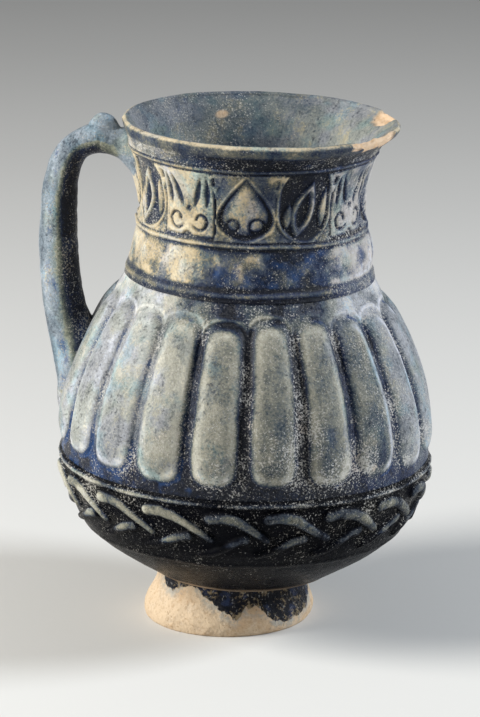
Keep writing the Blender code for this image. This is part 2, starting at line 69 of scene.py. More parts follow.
# Stacked walls, each measured up from its own lower seam
WALL = 0.0040
BOWL_FLOOR = 0.0050
BOWL_HEIGHT = 0.0468
SEAT_RADIUS = 0.0323
BELLY_RADIUS = 0.0696
BOWL_LOW_SWELL = 0.0060
BOWL_HIGH_SWELL = 0.0014
BOWL_PULLS = (0.08, 0.36)
BODY_HEIGHT = 0.0677
BODY_SWELL = 0.0036
SHOULDER_RADIUS = 0.0472
SHOULDER_SWELL = 0.0180
BODY_PULLS = (0.28, 0.62)
NECK_HEIGHT = 0.0495
NECK_TOP_RADIUS = 0.0466
NECK_LOW_DRAW = 0.0046
NECK_HIGH_DRAW = 0.0085
NECK_PULLS = (0.29, 0.66)
MOUTH_HEIGHT = 0.0090
MOUTH_FLARE = 0.0014
MOUTH_PULLS = (0.42, 0.54)
THROAT_FLARE = 0.0018
THROAT_DRAW = 0.0022
THROAT_PULLS = (0.44, 0.66)
LIP_RADIUS = 0.0510
LIP_THICKNESS = 0.0024
LIP_DRIFT = 0.0026
LIP_ROLL = 0.0012
LIP_ROLL_BELOW = 0.0030
LIP_ROLL_HALF = 0.0036
BODY_SEAM = BOWL_HEIGHT
SHOULDER_SEAM = BODY_SEAM + BODY_HEIGHT
MOUTH_SEAM = SHOULDER_SEAM + NECK_HEIGHT

# Lobes of the body
LOBE_COUNT = 20
LOBE_FIRST = math.radians(8.2)
LOBE_DEPTH = 0.0030
LOBE_STEP = 0.0010
LOBE_FADE = 0.0110
LOBE_SHARE = 0.90
LOBE_LOW = 0.0036
LOBE_HIGH = 0.0610
LOBE_ROUND = 2.8
LOBE_CROWN = 0.7
LOBE_WANDER = 0.012
GROOVE_CROWDING = 0.45
ARCH_GAP = 0.0018
ARCH_HALF = 0.0011
ARCH_RISE = 0.0006

# Braid of the lower bowl
STRAND_COUNT = 19
STRAND_FIRST = math.radians(-68.0)
STRAND_RISE = 0.0019
BELLY_BEAD = BOWL_HEIGHT - 0.0020
BELLY_SINK = 0.0004
BRAID_LOW_BEAD = 0.0190
BEAD_RISE = 0.0012
BEAD_HALF = 0.0017
SEAT_BEAD_HEIGHT = 0.0005
SEAT_BEAD_HALF = 0.0016
SEAT_BEAD_RISE = 0.0006
FLANK_SWELL = 0.0019
FLANK_HEIGHT = 0.0190
FLANK_HALF = 0.0140

# Frieze and collar of the neck
MOTIF_COUNT = 12
MOTIF_FIRST = math.radians(-3.5)
FRIEZE_LOW = 0.0212
FRIEZE_HIGH = 0.0470
FRIEZE_RISE = 0.0012
FRIEZE_SINK = 0.55
SHOULDER_BEAD = 0.0025
FRIEZE_LOW_BEAD = 0.0198
FRIEZE_TOP_BEAD = 0.0482
ROUNDEL_COUNT = 18
ROUNDEL_HEIGHT = 0.0112
ROUNDEL_RADIUS = 0.0042
ROUNDEL_HALF = 0.0018
ROUNDEL_RISE = 0.0002
COLLAR_SWELL = 0.0016
COLLAR_HEIGHT = 0.0130
COLLAR_HALF = 0.0100

# Handle and thumb rest
HANDLE_AROUND = math.radians(-96.0)
HANDLE_RADIUS = 0.0070
HANDLE_LOW_RADIUS = 0.0083
HANDLE_HIGH_RADIUS = 0.0058
HANDLE_ARCH_RADIUS = 0.0049
FINGER_GAP = 0.0236
HANDLE_LOW_Z = SHOULDER_SEAM - 0.0460
HANDLE_OUT_Z = MOUTH_SEAM - 0.0312
HANDLE_ARCH_Z = MOUTH_SEAM - 0.0018
HANDLE_HIGH_Z = MOUTH_SEAM - 0.0107
HANDLE_ARCH_FROM_NECK = 0.0140
HANDLE_BITE = 0.0040
HANDLE_LOW_BITE = 0.0074
HANDLE_LOW_DIRECTION = math.radians(107.5)
HANDLE_HIGH_DIRECTION = math.radians(-45.0)
HANDLE_PULL = 0.37
HANDLE_BEND_PULL = 0.43
HANDLE_FLARE = 0.0020
HANDLE_FLARE_REACH = 0.0030
HANDLE_END_SHARE = 0.7
THUMB_HEIGHT = 0.0103
THUMB_RADIUS = 0.0098
THUMB_WAIST = 0.0056
THUMB_WAIST_PULL = 0.35
THUMB_CROWN = 0.0053
THUMB_PINCH = 0.48
THUMB_TO_NECK = 0.0009
THUMB_SWELL = 0.0016
THUMB_SWELL_REACH = 0.0085

# Luting strips inside the seams
STRIP_HEIGHT = 0.0120
STRIP_THICKNESS = 0.0026
STRIP_PRESSES = 26.0
STRIP_PRESS_DEPTH = 0.0005
STRIP_LIFT = 0.0001

# Unevenness of the hand-pressed walls, and how far their bands stray round and up
BODY_WOBBLE = 0.00030
BOWL_WOBBLE = 0.00025
NECK_WOBBLE = 0.00025
MOUTH_WOBBLE = 0.00022
LIP_WOBBLE = 0.00012
LIP_DIP = 0.00035
FOOT_WOBBLE = 0.00036
RUN_RISE = 0.00030
RUN_JAG = 0.0012
HANDLE_DENT = 0.00032
HANDLE_GRAIN = 0.00020
BRAID_WANDER = 0.020
BRAID_SWAY = 0.0006
FRIEZE_WANDER = 0.010
FRIEZE_SWAY = 0.0004

# Clay smeared from the handle's roots: height of its middle, spread round and up, and rise
LOW_SMEAR = (HANDLE_LOW_Z - 0.0010, 0.085, 0.0100, 0.0026)
HIGH_SMEAR = (HANDLE_HIGH_Z - 0.0020, 0.160, 0.0080, 0.0022)

# Fineness of the skins: rows outside, rows inside and columns round
BODY_GRID = (128, 12, 600)
BOWL_GRID = (122, 14, 600)
NECK_GRID = (124, 10, 640)
MOUTH_GRID = (34, 26, 480)
FOOT_GRID = (52, 14, 360)
LIP_ROWS = 18
FOOT_ROUND_ROWS = 12
FOOT_BASE_ROWS = 10
STRIP_ROWS = 13
STRIP_COLUMNS = 200
KNOB_ROWS = 40
KNOB_COLUMNS = 72
ROD_STEPS = 70
ROD_ROUND_STEPS = 14

MERGE_DISTANCE = 0.000001
CORNER_ANGLE = math.radians(50.0)
CURVE_STEPS = 80
SLOPE_STEP = 0.0005


# Curves in radius and height

def curve(start, start_pull, end_pull, end):
    """Points along a cubic curve that leaves start towards start_pull and reaches end from end_pull."""
    t = np.linspace(0.0, 1.0, CURVE_STEPS + 1)[:, None]
    s = 1.0 - t
    corners = [np.array(corner) for corner in (start, start_pull, end_pull, end)]
    return s ** 3 * corners[0] + 3 * s * s * t * corners[1] + 3 * s * t * t * corners[2] + t ** 3 * corners[3]


def radius_at(wall, height):
    return np.interp(height, wall[:, 1], wall[:, 0])


def inside_of(wall, thickness):
    """The wall curve's inner face, square to the wall."""
    along = np.gradient(wall, axis=0)
    length = np.hypot(along[:, 0], along[:, 1])
    return wall + thickness * np.column_stack((-along[:, 1], along[:, 0])) / length[:, None]


def even_rows(wall, count):
    """Points spaced evenly along a wall curve."""
    steps = np.hypot(*np.diff(wall, axis=0).T)
    along = np.concatenate(([0.0], np.cumsum(steps)))
    spots = np.linspace(0.0, along[-1], count)
    return np.column_stack([np.interp(spots, along, wall[:, axis]) for axis in (0, 1)])


def rows_at(wall, low, high, count):
    """Points of a wall curve at even heights from low to high."""
    heights = np.linspace(low, high, count)
    return np.column_stack((radius_at(wall, heights), heights))


def round_edge(middle_radius, middle_height, radius, start, end, count):
    angles = np.linspace(start, end, count)
    return np.column_stack((middle_radius + radius * np.cos(angles), middle_height + radius * np.sin(angles)))


BOWL_WALL = curve((SEAT_RADIUS, 0.0), (SEAT_RADIUS + BOWL_LOW_SWELL, BOWL_HEIGHT * BOWL_PULLS[0]),
                  (BELLY_RADIUS - BOWL_HIGH_SWELL, BOWL_HEIGHT * BOWL_PULLS[1]), (BELLY_RADIUS, BOWL_HEIGHT))
BODY_WALL = curve((BELLY_RADIUS + LOBE_STEP / 2, 0.0),
                  (BELLY_RADIUS + BODY_SWELL, BODY_HEIGHT * BODY_PULLS[0]),
                  (SHOULDER_RADIUS + SHOULDER_SWELL, BODY_HEIGHT * BODY_PULLS[1]),
                  (SHOULDER_RADIUS, BODY_HEIGHT))
NECK_WALL = curve((SHOULDER_RADIUS - LOBE_STEP / 2, 0.0),
                  (SHOULDER_RADIUS - NECK_LOW_DRAW, NECK_HEIGHT * NECK_PULLS[0]),
                  (NECK_TOP_RADIUS - NECK_HIGH_DRAW, NECK_HEIGHT * NECK_PULLS[1]),
                  (NECK_TOP_RADIUS, NECK_HEIGHT))
LIP_EDGE = LIP_THICKNESS / 2
MOUTH_WALL = curve((NECK_TOP_RADIUS, 0.0), (NECK_TOP_RADIUS + MOUTH_FLARE, MOUTH_HEIGHT * MOUTH_PULLS[0]),
                   (LIP_RADIUS - LIP_EDGE, MOUTH_HEIGHT * MOUTH_PULLS[1]),
                   (LIP_RADIUS, MOUTH_HEIGHT - LIP_EDGE))
BOWL_INNER = inside_of(BOWL_WALL, WALL)
NECK_INNER = inside_of(NECK_WALL, WALL)
BODY_INNER = inside_of(BODY_WALL, WALL + LOBE_DEPTH)
BODY_INNER[0] = (BELLY_RADIUS - WALL, 0.0)
BODY_INNER[-1] = (SHOULDER_RADIUS - WALL, BODY_HEIGHT)


def pot_radius(height):
    """Outside radius of the body and the neck at heights above the pot's seat."""
    return np.where(height > SHOULDER_SEAM, radius_at(NECK_WALL, height - SHOULDER_SEAM),
                    radius_at(BODY_WALL, height - BODY_SEAM))


def pot_place(height):
    """Place of a piece that starts at a height above the pot's seat."""
    return POT_PLACE @ Matrix.Translation((0.0, 0.0, height))


# Turned skins and their points

def turn(name, profile, columns, closed=True):
    """Mesh of a fine grid bent once round the axis, with its rows laid along a profile."""
    line = np.vstack((profile, profile[:1])) if closed else np.asarray(profile)
    skin = bmesh.new()
    bmesh.ops.create_grid(skin, x_segments=columns, y_segments=len(line) - 1, size=0.5)
    sheet = mesh_of(name + "_sheet", skin)
    flat = points_of(sheet)
    row = (flat[:, 1] + 0.5) * (len(line) - 1)
    radius, height = (np.interp(row, np.arange(len(line)), line[:, axis]) for axis in (0, 1))
    set_polar(sheet, radius, flat[:, 0] * math.tau, height)
    skin = bmesh.new()
    skin.from_mesh(sheet)
    bpy.data.meshes.remove(sheet)
    bmesh.ops.remove_doubles(skin, verts=skin.verts, dist=MERGE_DISTANCE)
    bmesh.ops.recalc_face_normals(skin, faces=skin.faces)
    return mesh_of(name, skin)


def mesh_of(name, skin):
    """Mesh of a finished skin, smooth but for its sharp corners."""
    mesh = bpy.data.meshes.new(name)
    skin.to_mesh(mesh)
    skin.free()
    mesh.shade_smooth()
    mesh.set_sharp_from_angle(angle=CORNER_ANGLE)
    return mesh


def points_of(mesh):
    flat = np.empty(len(mesh.vertices) * 3, np.float32)
    mesh.vertices.foreach_get("co", flat)
    return flat.reshape(-1, 3).astype(float)


def polar_of(mesh):
    """Radius, angle from the front (growing to the right) and height of every point."""
    points = points_of(mesh)
    return np.hypot(points[:, 0], points[:, 1]), np.arctan2(points[:, 0], -points[:, 1]), points[:, 2].copy()


def set_points(mesh, points):
    mesh.vertices.foreach_set("co", points.astype(np.float32).ravel())
    mesh.update()


def set_polar(mesh, radius, around, height):
    set_points(mesh, spots_of(radius, around, height))


def spots_of(radius, around, height):
    return np.column_stack((radius * np.sin(around), -radius * np.cos(around), height))


def mark(mesh, **shares):
    """Keeps a value for each point, for the finishes to read."""
    for name, share in shares.items():
        layer = mesh.attributes.new(name, "FLOAT", "POINT")
        layer.data.foreach_set("value", np.broadcast_to(share, len(mesh.vertices)).astype(np.float32))


def put(name, mesh, place, finish, node):
    """Shown piece that stands for a solid, with its place in its mesh."""
    mesh.transform(place)
    mesh.materials.append(finish)
    piece = bpy.data.objects.new(name, mesh)
    bpy.context.scene.collection.objects.link(piece)
    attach(piece, "root")
    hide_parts(node)


# Relief

def smooth(low, high, value):
    share = np.clip((value - low) / (high - low), 0.0, 1.0)
    return share * share * (3.0 - 2.0 * share)


def blend(first, second, share):
    return first * (1.0 - share) + second * share


def ridge(distance, half):
    """Round-topped ridge: 1 on its line, 0 from half its width on."""
    return 0.5 + 0.5 * np.cos(np.pi * np.clip(np.abs(distance) / half, 0.0, 1.0))


def dome(inside, edge):
    """Filled form: 0 outside its outline, full from edge inwards."""
    share = np.clip(inside / edge, 0.0, 1.0)
    return np.sqrt(1.0 - (1.0 - share) ** 2)


def fold(around, count, first):
    """Angle from the nearest of count repeats, and that repeat's number."""
    pitch = math.tau / count
    number = np.round((around - first) / pitch)
    return around - first - number * pitch, number.astype(int) % count


def mottle(spots, size, seed, octaves=3):
    """Cloudy unevenness of about the given size, between -1 and 1."""
    return np.array([noise.fractal(spot, 1.0, 2.0, octaves) for spot in (spots / size + seed).tolist()])


def one_each(count, seed, low, high):
    """A number between low and high for each of count repeats."""
    return np.random.default_rng(seed).uniform(low, high, count)


def stroke(across, up, points):
    """Distance from a bent line through points, and how far along it the nearest place lies, 0 to 1."""
    best = np.full(across.shape, 1.0)
    along = np.zeros(across.shape)
    count = len(points) - 1
    for index, ((x0, y0), (x1, y1)) in enumerate(zip(points, points[1:])):
        dx = x1 - x0
        dy = y1 - y0
        share = np.clip(((across - x0) * dx + (up - y0) * dy) / (dx * dx + dy * dy), 0.0, 1.0)
        distance = np.hypot(across - x0 - share * dx, up - y0 - share * dy)
        nearer = distance < best
        best = np.where(nearer, distance, best)
        along = np.where(nearer, (index + share) / count, along)
    return best, along


def drop(across, up, low, high, width, belly):
    """Depth inside a drop-shaped outline that stands from low to high; belly below 1 puts its bulge lower."""
    share = np.clip((up - low) / (high - low), 0.0, 1.0)
    half = width / 2 * np.sin(np.pi * share ** belly)
    ahead = np.clip((up + SLOPE_STEP - low) / (high - low), 0.0, 1.0)
    slope = (width / 2 * np.sin(np.pi * ahead ** belly) - half) / SLOPE_STEP
    beyond = np.maximum(low - up, up - high)
    depth = (half - np.abs(across)) / np.sqrt(1.0 + slope * slope)
    return np.where(beyond > 0.0, -np.hypot(np.maximum(beyond, 0.0), across), depth)


def tilted(across, up, middle, angle):
    """The same place measured about a middle and turned."""
    x = across - middle[0]
    y = up - middle[1]
    return x * math.cos(angle) - y * math.sin(angle), x * math.sin(angle) + y * math.cos(angle)


def handle_clay(around, height, middle, across, along, rise):
    """Clay smeared from the handle's root on to the wall."""
    return rise * np.exp(-((around - HANDLE_AROUND) / across) ** 2 - ((height - middle) / along) ** 2)


# Shader maths

class Value:
    """One value in a finish: sums and products of values add Math nodes."""

    def __init__(self, finish, socket):
        self.finish = finish
        self.socket = socket

    def math(self, operation, first, second):
        node = self.finish.node("ShaderNodeMath", {"operation": operation}, {0: first, 1: second})
        return Value(self.finish, node.outputs[0])

    def __add__(self, other):
        return self.math("ADD", self, other)

    __radd__ = __add__

    def __sub__(self, other):
        return self.math("SUBTRACT", self, other)

    def __rsub__(self, other):
        return self.math("SUBTRACT", other, self)

    def __mul__(self, other):
        return self.math("MULTIPLY", self, other)

    __rmul__ = __mul__


class Finish:
    """A material under construction, with a Principled shader at its end."""

    def __init__(self, name):
        self.material = bpy.data.materials.new(name)
        self.material.use_nodes = True
        self.tree = self.material.node_tree
        self.tree.nodes.clear()
        self.shader = self.node("ShaderNodeBsdfPrincipled")
        self.node("ShaderNodeOutputMaterial", inputs={"Surface": self.shader.outputs[0]})
        self.place = self.node("ShaderNodeTexCoord").outputs["Object"]

    def node(self, kind, settings=None, inputs=None):
        made = self.tree.nodes.new(kind)
        for name, setting in (settings or {}).items():
            if name == "stops":
                self.set_stops(made.color_ramp.elements, setting)
            else:
                setattr(made, name, setting)
        self.feed(made, inputs or {})
        return made

    def set_stops(self, elements, stops):
        while len(elements) < len(stops):
            elements.new(1.0)
        for element, (place, colour) in zip(elements, stops):
            element.position = place
            element.color = colour

    def feed(self, node, inputs):
        for name, value in inputs.items():
            source = value.socket if isinstance(value, Value) else value
            if isinstance(source, bpy.types.NodeSocket):
                self.tree.links.new(source, node.inputs[name])
            else:
                node.inputs[name].default_value = source

    def kept(self, name):
        """A value kept on the piece's points."""
        return Value(self, self.node("ShaderNodeAttribute", {"attribute_name": name}).outputs["Fac"])

    def cloud(self, size, detail=4.0, roughness=0.55, stretch=(1.0, 1.0, 1.0), offset=0.0):
        place = self.place
        if stretch != (1.0, 1.0, 1.0) or offset:
            mapping = self.node("ShaderNodeMapping", inputs={"Vector": place, "Scale": stretch,
                                                             "Location": (offset, offset, offset)})
            place = mapping.outputs[0]
        made = self.node("ShaderNodeTexNoise", inputs={"Vector": place, "Scale": 1.0 / size, "Detail": detail,
                                                       "Roughness": roughness})
        return Value(self, made.outputs[0])

    def step(self, value, low, high):
        made = self.node("ShaderNodeMapRange", {"interpolation_type": "SMOOTHSTEP"},
                         {"Value": value, "From Min": low, "From Max": high})
        return Value(self, made.outputs[0])

    def mix(self, first, second, share, blend="MIX"):
        """Colour that goes from first to second, or to first tinted by second, as share goes from 0 to 1."""
        made = self.node("ShaderNodeMix", {"data_type": "RGBA", "blend_type": blend},
                         {0: share, 6: first, 7: second})
        return made.outputs[2]

    def ramp(self, value, stops):
        return self.node("ShaderNodeValToRGB", {"stops": stops}, {0: value}).outputs[0]

    def end(self, colour, roughness, bump_height, bump_depth, **constants):
        bump = self.node("ShaderNodeBump",
                         inputs={"Height": bump_height, "Distance": bump_depth, "Strength": 1.0})
        self.feed(self.shader, {"Base Color": colour, "Roughness": roughness, "Normal": bump.outputs[0]})
        self.feed(self.shader, constants)
        return self.material


def tone(red, green, blue):
    return (red, green, blue, 1.0)


# Finishes

SOOT = tone(0.0012, 0.0015, 0.0030)
INK = tone(0.004, 0.006, 0.013)
NAVY = tone(0.009, 0.019, 0.052)
COBALT = tone(0.008, 0.045, 0.150)
TEAL_GREY = tone(0.046, 0.066, 0.085)
SLATE = tone(0.052, 0.068, 0.100)
GREY_GREEN = tone(0.140, 0.156, 0.152)
STONE = tone(0.278, 0.290, 0.266)
PALE = tone(0.428, 0.456, 0.444)
BEIGE = tone(0.445, 0.412, 0.340)
CREAM = tone(0.620, 0.632, 0.590)
RUSTY_BUFF = tone(0.60, 0.36, 0.17)
CHALK = tone(0.66, 0.65, 0.63)
BARE_CLAY = tone(0.66, 0.49, 0.34)
INNER_GREY = tone(0.165, 0.195, 0.185)
ROD_GREY = tone(0.122, 0.156, 0.162)
ROD_MIST = tone(0.240, 0.290, 0.292)
ROD_PALE = tone(0.395, 0.455, 0.455)
FOOT_CLAY = tone(0.63, 0.49, 0.34)
FOOT_RUST = tone(0.50, 0.33, 0.19)
FOOT_CREAM = tone(0.66, 0.55, 0.42)
FOOT_DIRT = tone(0.40, 0.27, 0.16)
FOOT_SPECK = tone(0.26, 0.16, 0.08)
FOOT_HALO = tone(0.38, 0.38, 0.35)
RUN_BLACK = tone(0.004, 0.005, 0.010)
RUN_BLUE = tone(0.018, 0.030, 0.075)
RUN_BROWN = tone(0.38, 0.29, 0.17)
STRIP_CLAY = tone(0.44, 0.36, 0.26)

# Tints that multiply the glaze's colour in patches
BUFF_TINT = tone(1.18, 0.99, 0.70)
TEAL_TINT = tone(0.80, 0.97, 1.02)
VIOLET_TINT = tone(1.02, 1.01, 1.17)

# Glaze from where it is pooled to where it is worn through; the same stops also turn painted shade dark and
# painted light pale
LOBE_STOPS = ((0.06, INK), (0.22, NAVY), (0.36, TEAL_GREY), (0.50, GREY_GREEN), (0.66, STONE), (0.85, PALE),
              (1.0, CREAM))
HANDLE_STOPS = ((0.06, INK), (0.22, NAVY), (0.36, TEAL_GREY), (0.50, ROD_GREY), (0.66, ROD_MIST),
                (0.85, ROD_PALE), (1.0, CREAM))
BOWL_STOPS = ((0.14, SOOT), (0.36, INK), (0.52, SLATE), (0.66, GREY_GREEN), (0.85, STONE), (1.0, PALE))
NECK_STOPS = ((0.08, INK), (0.24, NAVY), (0.38, SLATE), (0.52, GREY_GREEN), (0.70, BEIGE), (1.0, CREAM))
INNER_STOPS = ((0.08, INK), (0.32, TEAL_GREY), (0.52, GREY_GREEN), (0.74, STONE), (1.0, PALE))


# Kept on a piece's points: thin glaze with painted light and shade, lining, bare clay, chalky crust, pooled
# cobalt, and buff over violet
MARKS = ("raised", "inner", "bare", "crusty", "blue", "warm")


def worn_glaze(name, stops, buff_share, gloss, mirror):
    """Cobalt glaze pooled in the recesses and rubbed pale on the highs, under ragged chalky crust; the same
    paleness carries the painted light and shade kept on each piece's points.
    """
    glaze = Finish(name)
    raised, inner, bare, crusty, blue, warm = [glaze.kept(mark_name) for mark_name in MARKS]
    patches = glaze.cloud(0.020, 3.0)
    stains = glaze.cloud(0.008, 5.0, 0.6, stretch=(1.0, 1.0, 0.6), offset=3.1)
    ragged = glaze.cloud(0.0030, 8.0, 0.75)
    grains = glaze.cloud(0.0009, 3.0, 0.65, offset=1.3)
    worn_and_lit = raised + (patches - 0.5) * 0.5 + (stains - 0.5) * 0.4
    worn_and_lit = worn_and_lit + (ragged - 0.5) * 0.4 + (grains - 0.5) * 0.55
    colour = glaze.mix(glaze.ramp(worn_and_lit, stops), glaze.ramp(worn_and_lit, INNER_STOPS), inner)
    buff = glaze.step(stains + (grains - 0.5) * 0.5 + warm * 0.25, 0.45, 0.62)
    colour = glaze.mix(colour, BUFF_TINT, buff * buff_share, "MULTIPLY")
    teal = glaze.step(glaze.cloud(0.013, 4.0, offset=8.2), 0.50, 0.64)
    colour = glaze.mix(colour, TEAL_TINT, teal * (1.0 - buff), "MULTIPLY")
    violet = glaze.step(glaze.cloud(0.015, 4.0, offset=6.1) - warm * 0.20, 0.48, 0.64)
    colour = glaze.mix(colour, VIOLET_TINT, violet * (1.0 - buff), "MULTIPLY")
    pools = blue + (glaze.cloud(0.0065, 4.0, offset=15.0) - 0.5) * 1.2 + (ragged - 0.5) * 0.5
    cobalt = glaze.step(pools, 0.40, 0.75)
    colour = glaze.mix(colour, COBALT, cobalt * 0.85)
    flakes = glaze.cloud(0.0007, 4.0, 0.7, offset=7.7)
    crust = glaze.step(flakes + (stains - 0.5) * 0.3 + crusty * 0.26, 0.61, 0.72)
    chalk = glaze.mix(CHALK, BEIGE, glaze.step(stains, 0.44, 0.60) * buff_share)
    rusty = glaze.step(glaze.cloud(0.007, 5.0, offset=5.3), 0.56, 0.66) * crusty * buff_share
    colour = glaze.mix(colour, glaze.mix(chalk, RUSTY_BUFF, rusty), crust * 0.85)
    pits = glaze.step(glaze.cloud(0.0014, 5.0, 0.75, offset=11.0), 0.56, 0.64)
    pits = pits * glaze.step(stains, 0.58, 0.44)
    colour = glaze.mix(colour, stops[1][1], pits * 0.6)
    clay = glaze.mix(BARE_CLAY, RUSTY_BUFF, glaze.step(ragged, 0.46, 0.64) * 0.5)
    colour = glaze.mix(colour, clay, bare)
    roughness = gloss + crust * 0.3 + bare * 0.35 + (ragged - 0.5) * 0.5 + inner * 0.12
    surface = ragged + grains * 0.4 + crust * 0.25 - pits * 0.3 + patches * 0.4
    return glaze.end(colour, roughness, surface, 0.0005, **{"Specular IOR Level": mirror})


def foot_finish():
    """Bare cream clay with glaze that ran down over it."""
    clay = Finish("cream_clay_with_runs")
    halo = clay.kept("halo")
    stains = clay.cloud(0.010, 4.0)
    grain = clay.cloud(0.0013, 5.0, 0.65)
    run = clay.step(clay.kept("run") + (grain - 0.5) * 1.1, 0.40, 0.62)
    patches = clay.cloud(0.005, 4.0, offset=4.0)
    body = clay.mix(FOOT_CLAY, FOOT_RUST, clay.step(stains + (grain - 0.5) * 0.4, 0.46, 0.72) * 0.7)
    body = clay.mix(body, FOOT_CREAM, clay.step(patches, 0.50, 0.70) * 0.6)
    body = clay.mix(body, FOOT_DIRT, clay.step(grain + (patches - 0.5) * 0.5, 0.50, 0.62) * 0.38)
    specks = clay.step(clay.cloud(0.0011, 2.0, offset=9.0), 0.64, 0.72)
    body = clay.mix(body, FOOT_SPECK, specks * 0.6)
    body = clay.mix(body, FOOT_HALO, halo * clay.step(grain + (patches - 0.5), 0.36, 0.60) * 0.8)
    glassy = clay.mix(RUN_BLACK, RUN_BLUE, clay.step(patches, 0.52, 0.66))
    glassy = clay.mix(glassy, RUN_BROWN, clay.step(stains + (grain - 0.5) * 0.8, 0.52, 0.66) * 0.7)
    glassy = clay.mix(glassy, CHALK, clay.step(clay.cloud(0.0012, 3.0, offset=2.0), 0.60, 0.68) * 0.35)
    colour = clay.mix(body, glassy, run)
    roughness = 0.86 - run * 0.5
    return clay.end(colour, roughness, grain + stains * 0.6, 0.0007, **{"Specular IOR Level": 0.15})


def strip_finish():
    """Smeared clay under thin glaze, inside the pot."""
    clay = Finish("smeared_clay")
    stains = clay.cloud(0.008, 4.0)
    grain = clay.cloud(0.0015, 5.0, 0.65)
    colour = clay.mix(STRIP_CLAY, INNER_GREY, clay.step(stains, 0.4, 0.62))
    return clay.end(colour, 0.72 + (grain - 0.5) * 0.2, grain + stains, 0.0004)


# Pieces

def pressed(name, profile, columns, closed=True):
    """A turned wall with its points: mesh, radius, angle and height."""
    mesh = turn(name, profile, columns, closed)
    return (mesh,) + polar_of(mesh)


def outer_share(radius, height, wall, inner):
    """1 on the outside of a wall, 0 on its inside."""
    return (radius > (radius_at(wall, height) + radius_at(inner, height)) / 2).astype(float)


def lobe_places(radius, around, height, spots):
    """Where each point lies on its lobe: across it, the lobe's half width and ends, and its outline."""
    offset, number = fold(around + LOBE_WANDER * mottle(spots, 0.045, 1.0), LOBE_COUNT, LOBE_FIRST)
    across = offset * radius
    half = LOBE_SHARE * math.pi * radius / LOBE_COUNT * one_each(LOBE_COUNT, 3, 0.95, 1.03)[number]
    low = LOBE_LOW + one_each(LOBE_COUNT, 4, -0.0006, 0.0008)[number]
    high = LOBE_HIGH + one_each(LOBE_COUNT, 5, -0.0012, 0.0008)[number]
    past_end = np.maximum(np.maximum(low + half - height, height - high + half), 0.0)
    reach = (np.abs(across) ** LOBE_ROUND + past_end ** LOBE_ROUND) ** (1.0 / LOBE_ROUND)
    return SimpleNamespace(across=across, half=half, low=low, high=high, reach=reach, outline=half - reach)


def lobe_wear_and_light(lobe, around, height, arch, wear, broad):
    """How far the glaze is rubbed through, crusty, blue and warm on the lobes and between them, with painted
    light and shade: paler on the left and at the sides, a painted shade at the right front, and painted
    highlights on the right.
    """
    flank = smooth(-0.0002, 0.0026, lobe.outline)
    rim = ridge(lobe.outline - 0.0030, 0.0026)
    from_corner = np.hypot(np.abs(lobe.across) - 0.55 * lobe.half, height - lobe.low - 0.42 * lobe.half)
    corners = ridge(from_corner, 0.0032)
    side = lobe.across / lobe.half
    leaning = np.sin(around)
    left = smooth(-0.15, -0.75, leaning)
    right = smooth(0.35, 0.85, leaning)
    # Painted sheen on the far right of the body, and painted highlights on the right flanks of the right-hand
    # lobes.
    far_right_sheen = smooth(0.78, 0.93, leaning)
    right_rim_highlight = rim * right * smooth(-0.2, 0.5, side)
    # Painted light and shade on the lobes: paler on the left and front left, the far right sheen and right
    # rim highlights, and a painted shade at the right front; the rims and corners are glaze worn thin.
    worn_and_lit = 0.51 + 0.17 * smooth(0.10, -0.50, leaning) + 0.12 * far_right_sheen + 0.08 * broad
    worn_and_lit += 0.14 * rim * (1.0 - right) + 0.42 * right_rim_highlight + 0.20 * corners
    worn_and_lit -= 0.10 * ridge(leaning - 0.66, 0.20)
    worn_and_lit -= 0.08 * ridge(np.hypot(lobe.across, height - lobe.low - 0.0080), 0.0060)
    # Painted light in the grooves: paler on the left and on the right, dark at the front.
    pale = 0.60 * left * smooth(0.002, 0.022, height) + 0.20 * right
    raised = blend(0.03 + pale, worn_and_lit, flank)
    above = smooth(LOBE_HIGH - 0.0060, LOBE_HIGH - 0.0010, height) * (1.0 - flank)
    # Band above the lobes: paler on the left and right by painted light, on the arches by relief, and in
    # patches by wear.
    raised += above * (0.12 + 0.06 * left + 0.44 * right + 0.40 * wear) + 0.40 * arch
    low_half = smooth(0.040, 0.012, height) * (1.0 - left)
    crusty = blend((1.0 - above) * (0.34 + 0.4 * wear), 0.16 + 0.25 * corners, flank)
    crusty += above * (0.25 + 0.30 * left + 0.40 * right) * (0.6 + 0.9 * wear)
    crusty += low_half * flank * (0.2 + 0.5 * wear)
    crusty = np.clip(crusty * (0.35 + 0.65 * smooth(0.0, 0.0090, height)) + 0.22 * broad, 0.0, 1.0)
    lined_edge = ridge(lobe.outline - 0.0003, 0.0015) * smooth(-0.1, 0.3, side)
    blue = lined_edge * (0.25 + 0.32 * left + 0.35 * right) + 0.30 * above * (1.0 - left)
    blue += (1.0 - flank) * smooth(0.024, 0.004, height) * (0.20 + 0.35 * left)
    warm = 0.55 * ridge(leaning - 0.10, 0.85) - 0.4 * smooth(-0.55, -0.85, leaning)
    # The violet tint also lies on the painted right rim highlights and the far right sheen.
    warm -= np.maximum(np.maximum(right_rim_highlight, far_right_sheen), right * (1.0 - flank))
    warm += 1.2 * (above - (1.0 - flank)) * left
    return raised, crusty, blue, warm


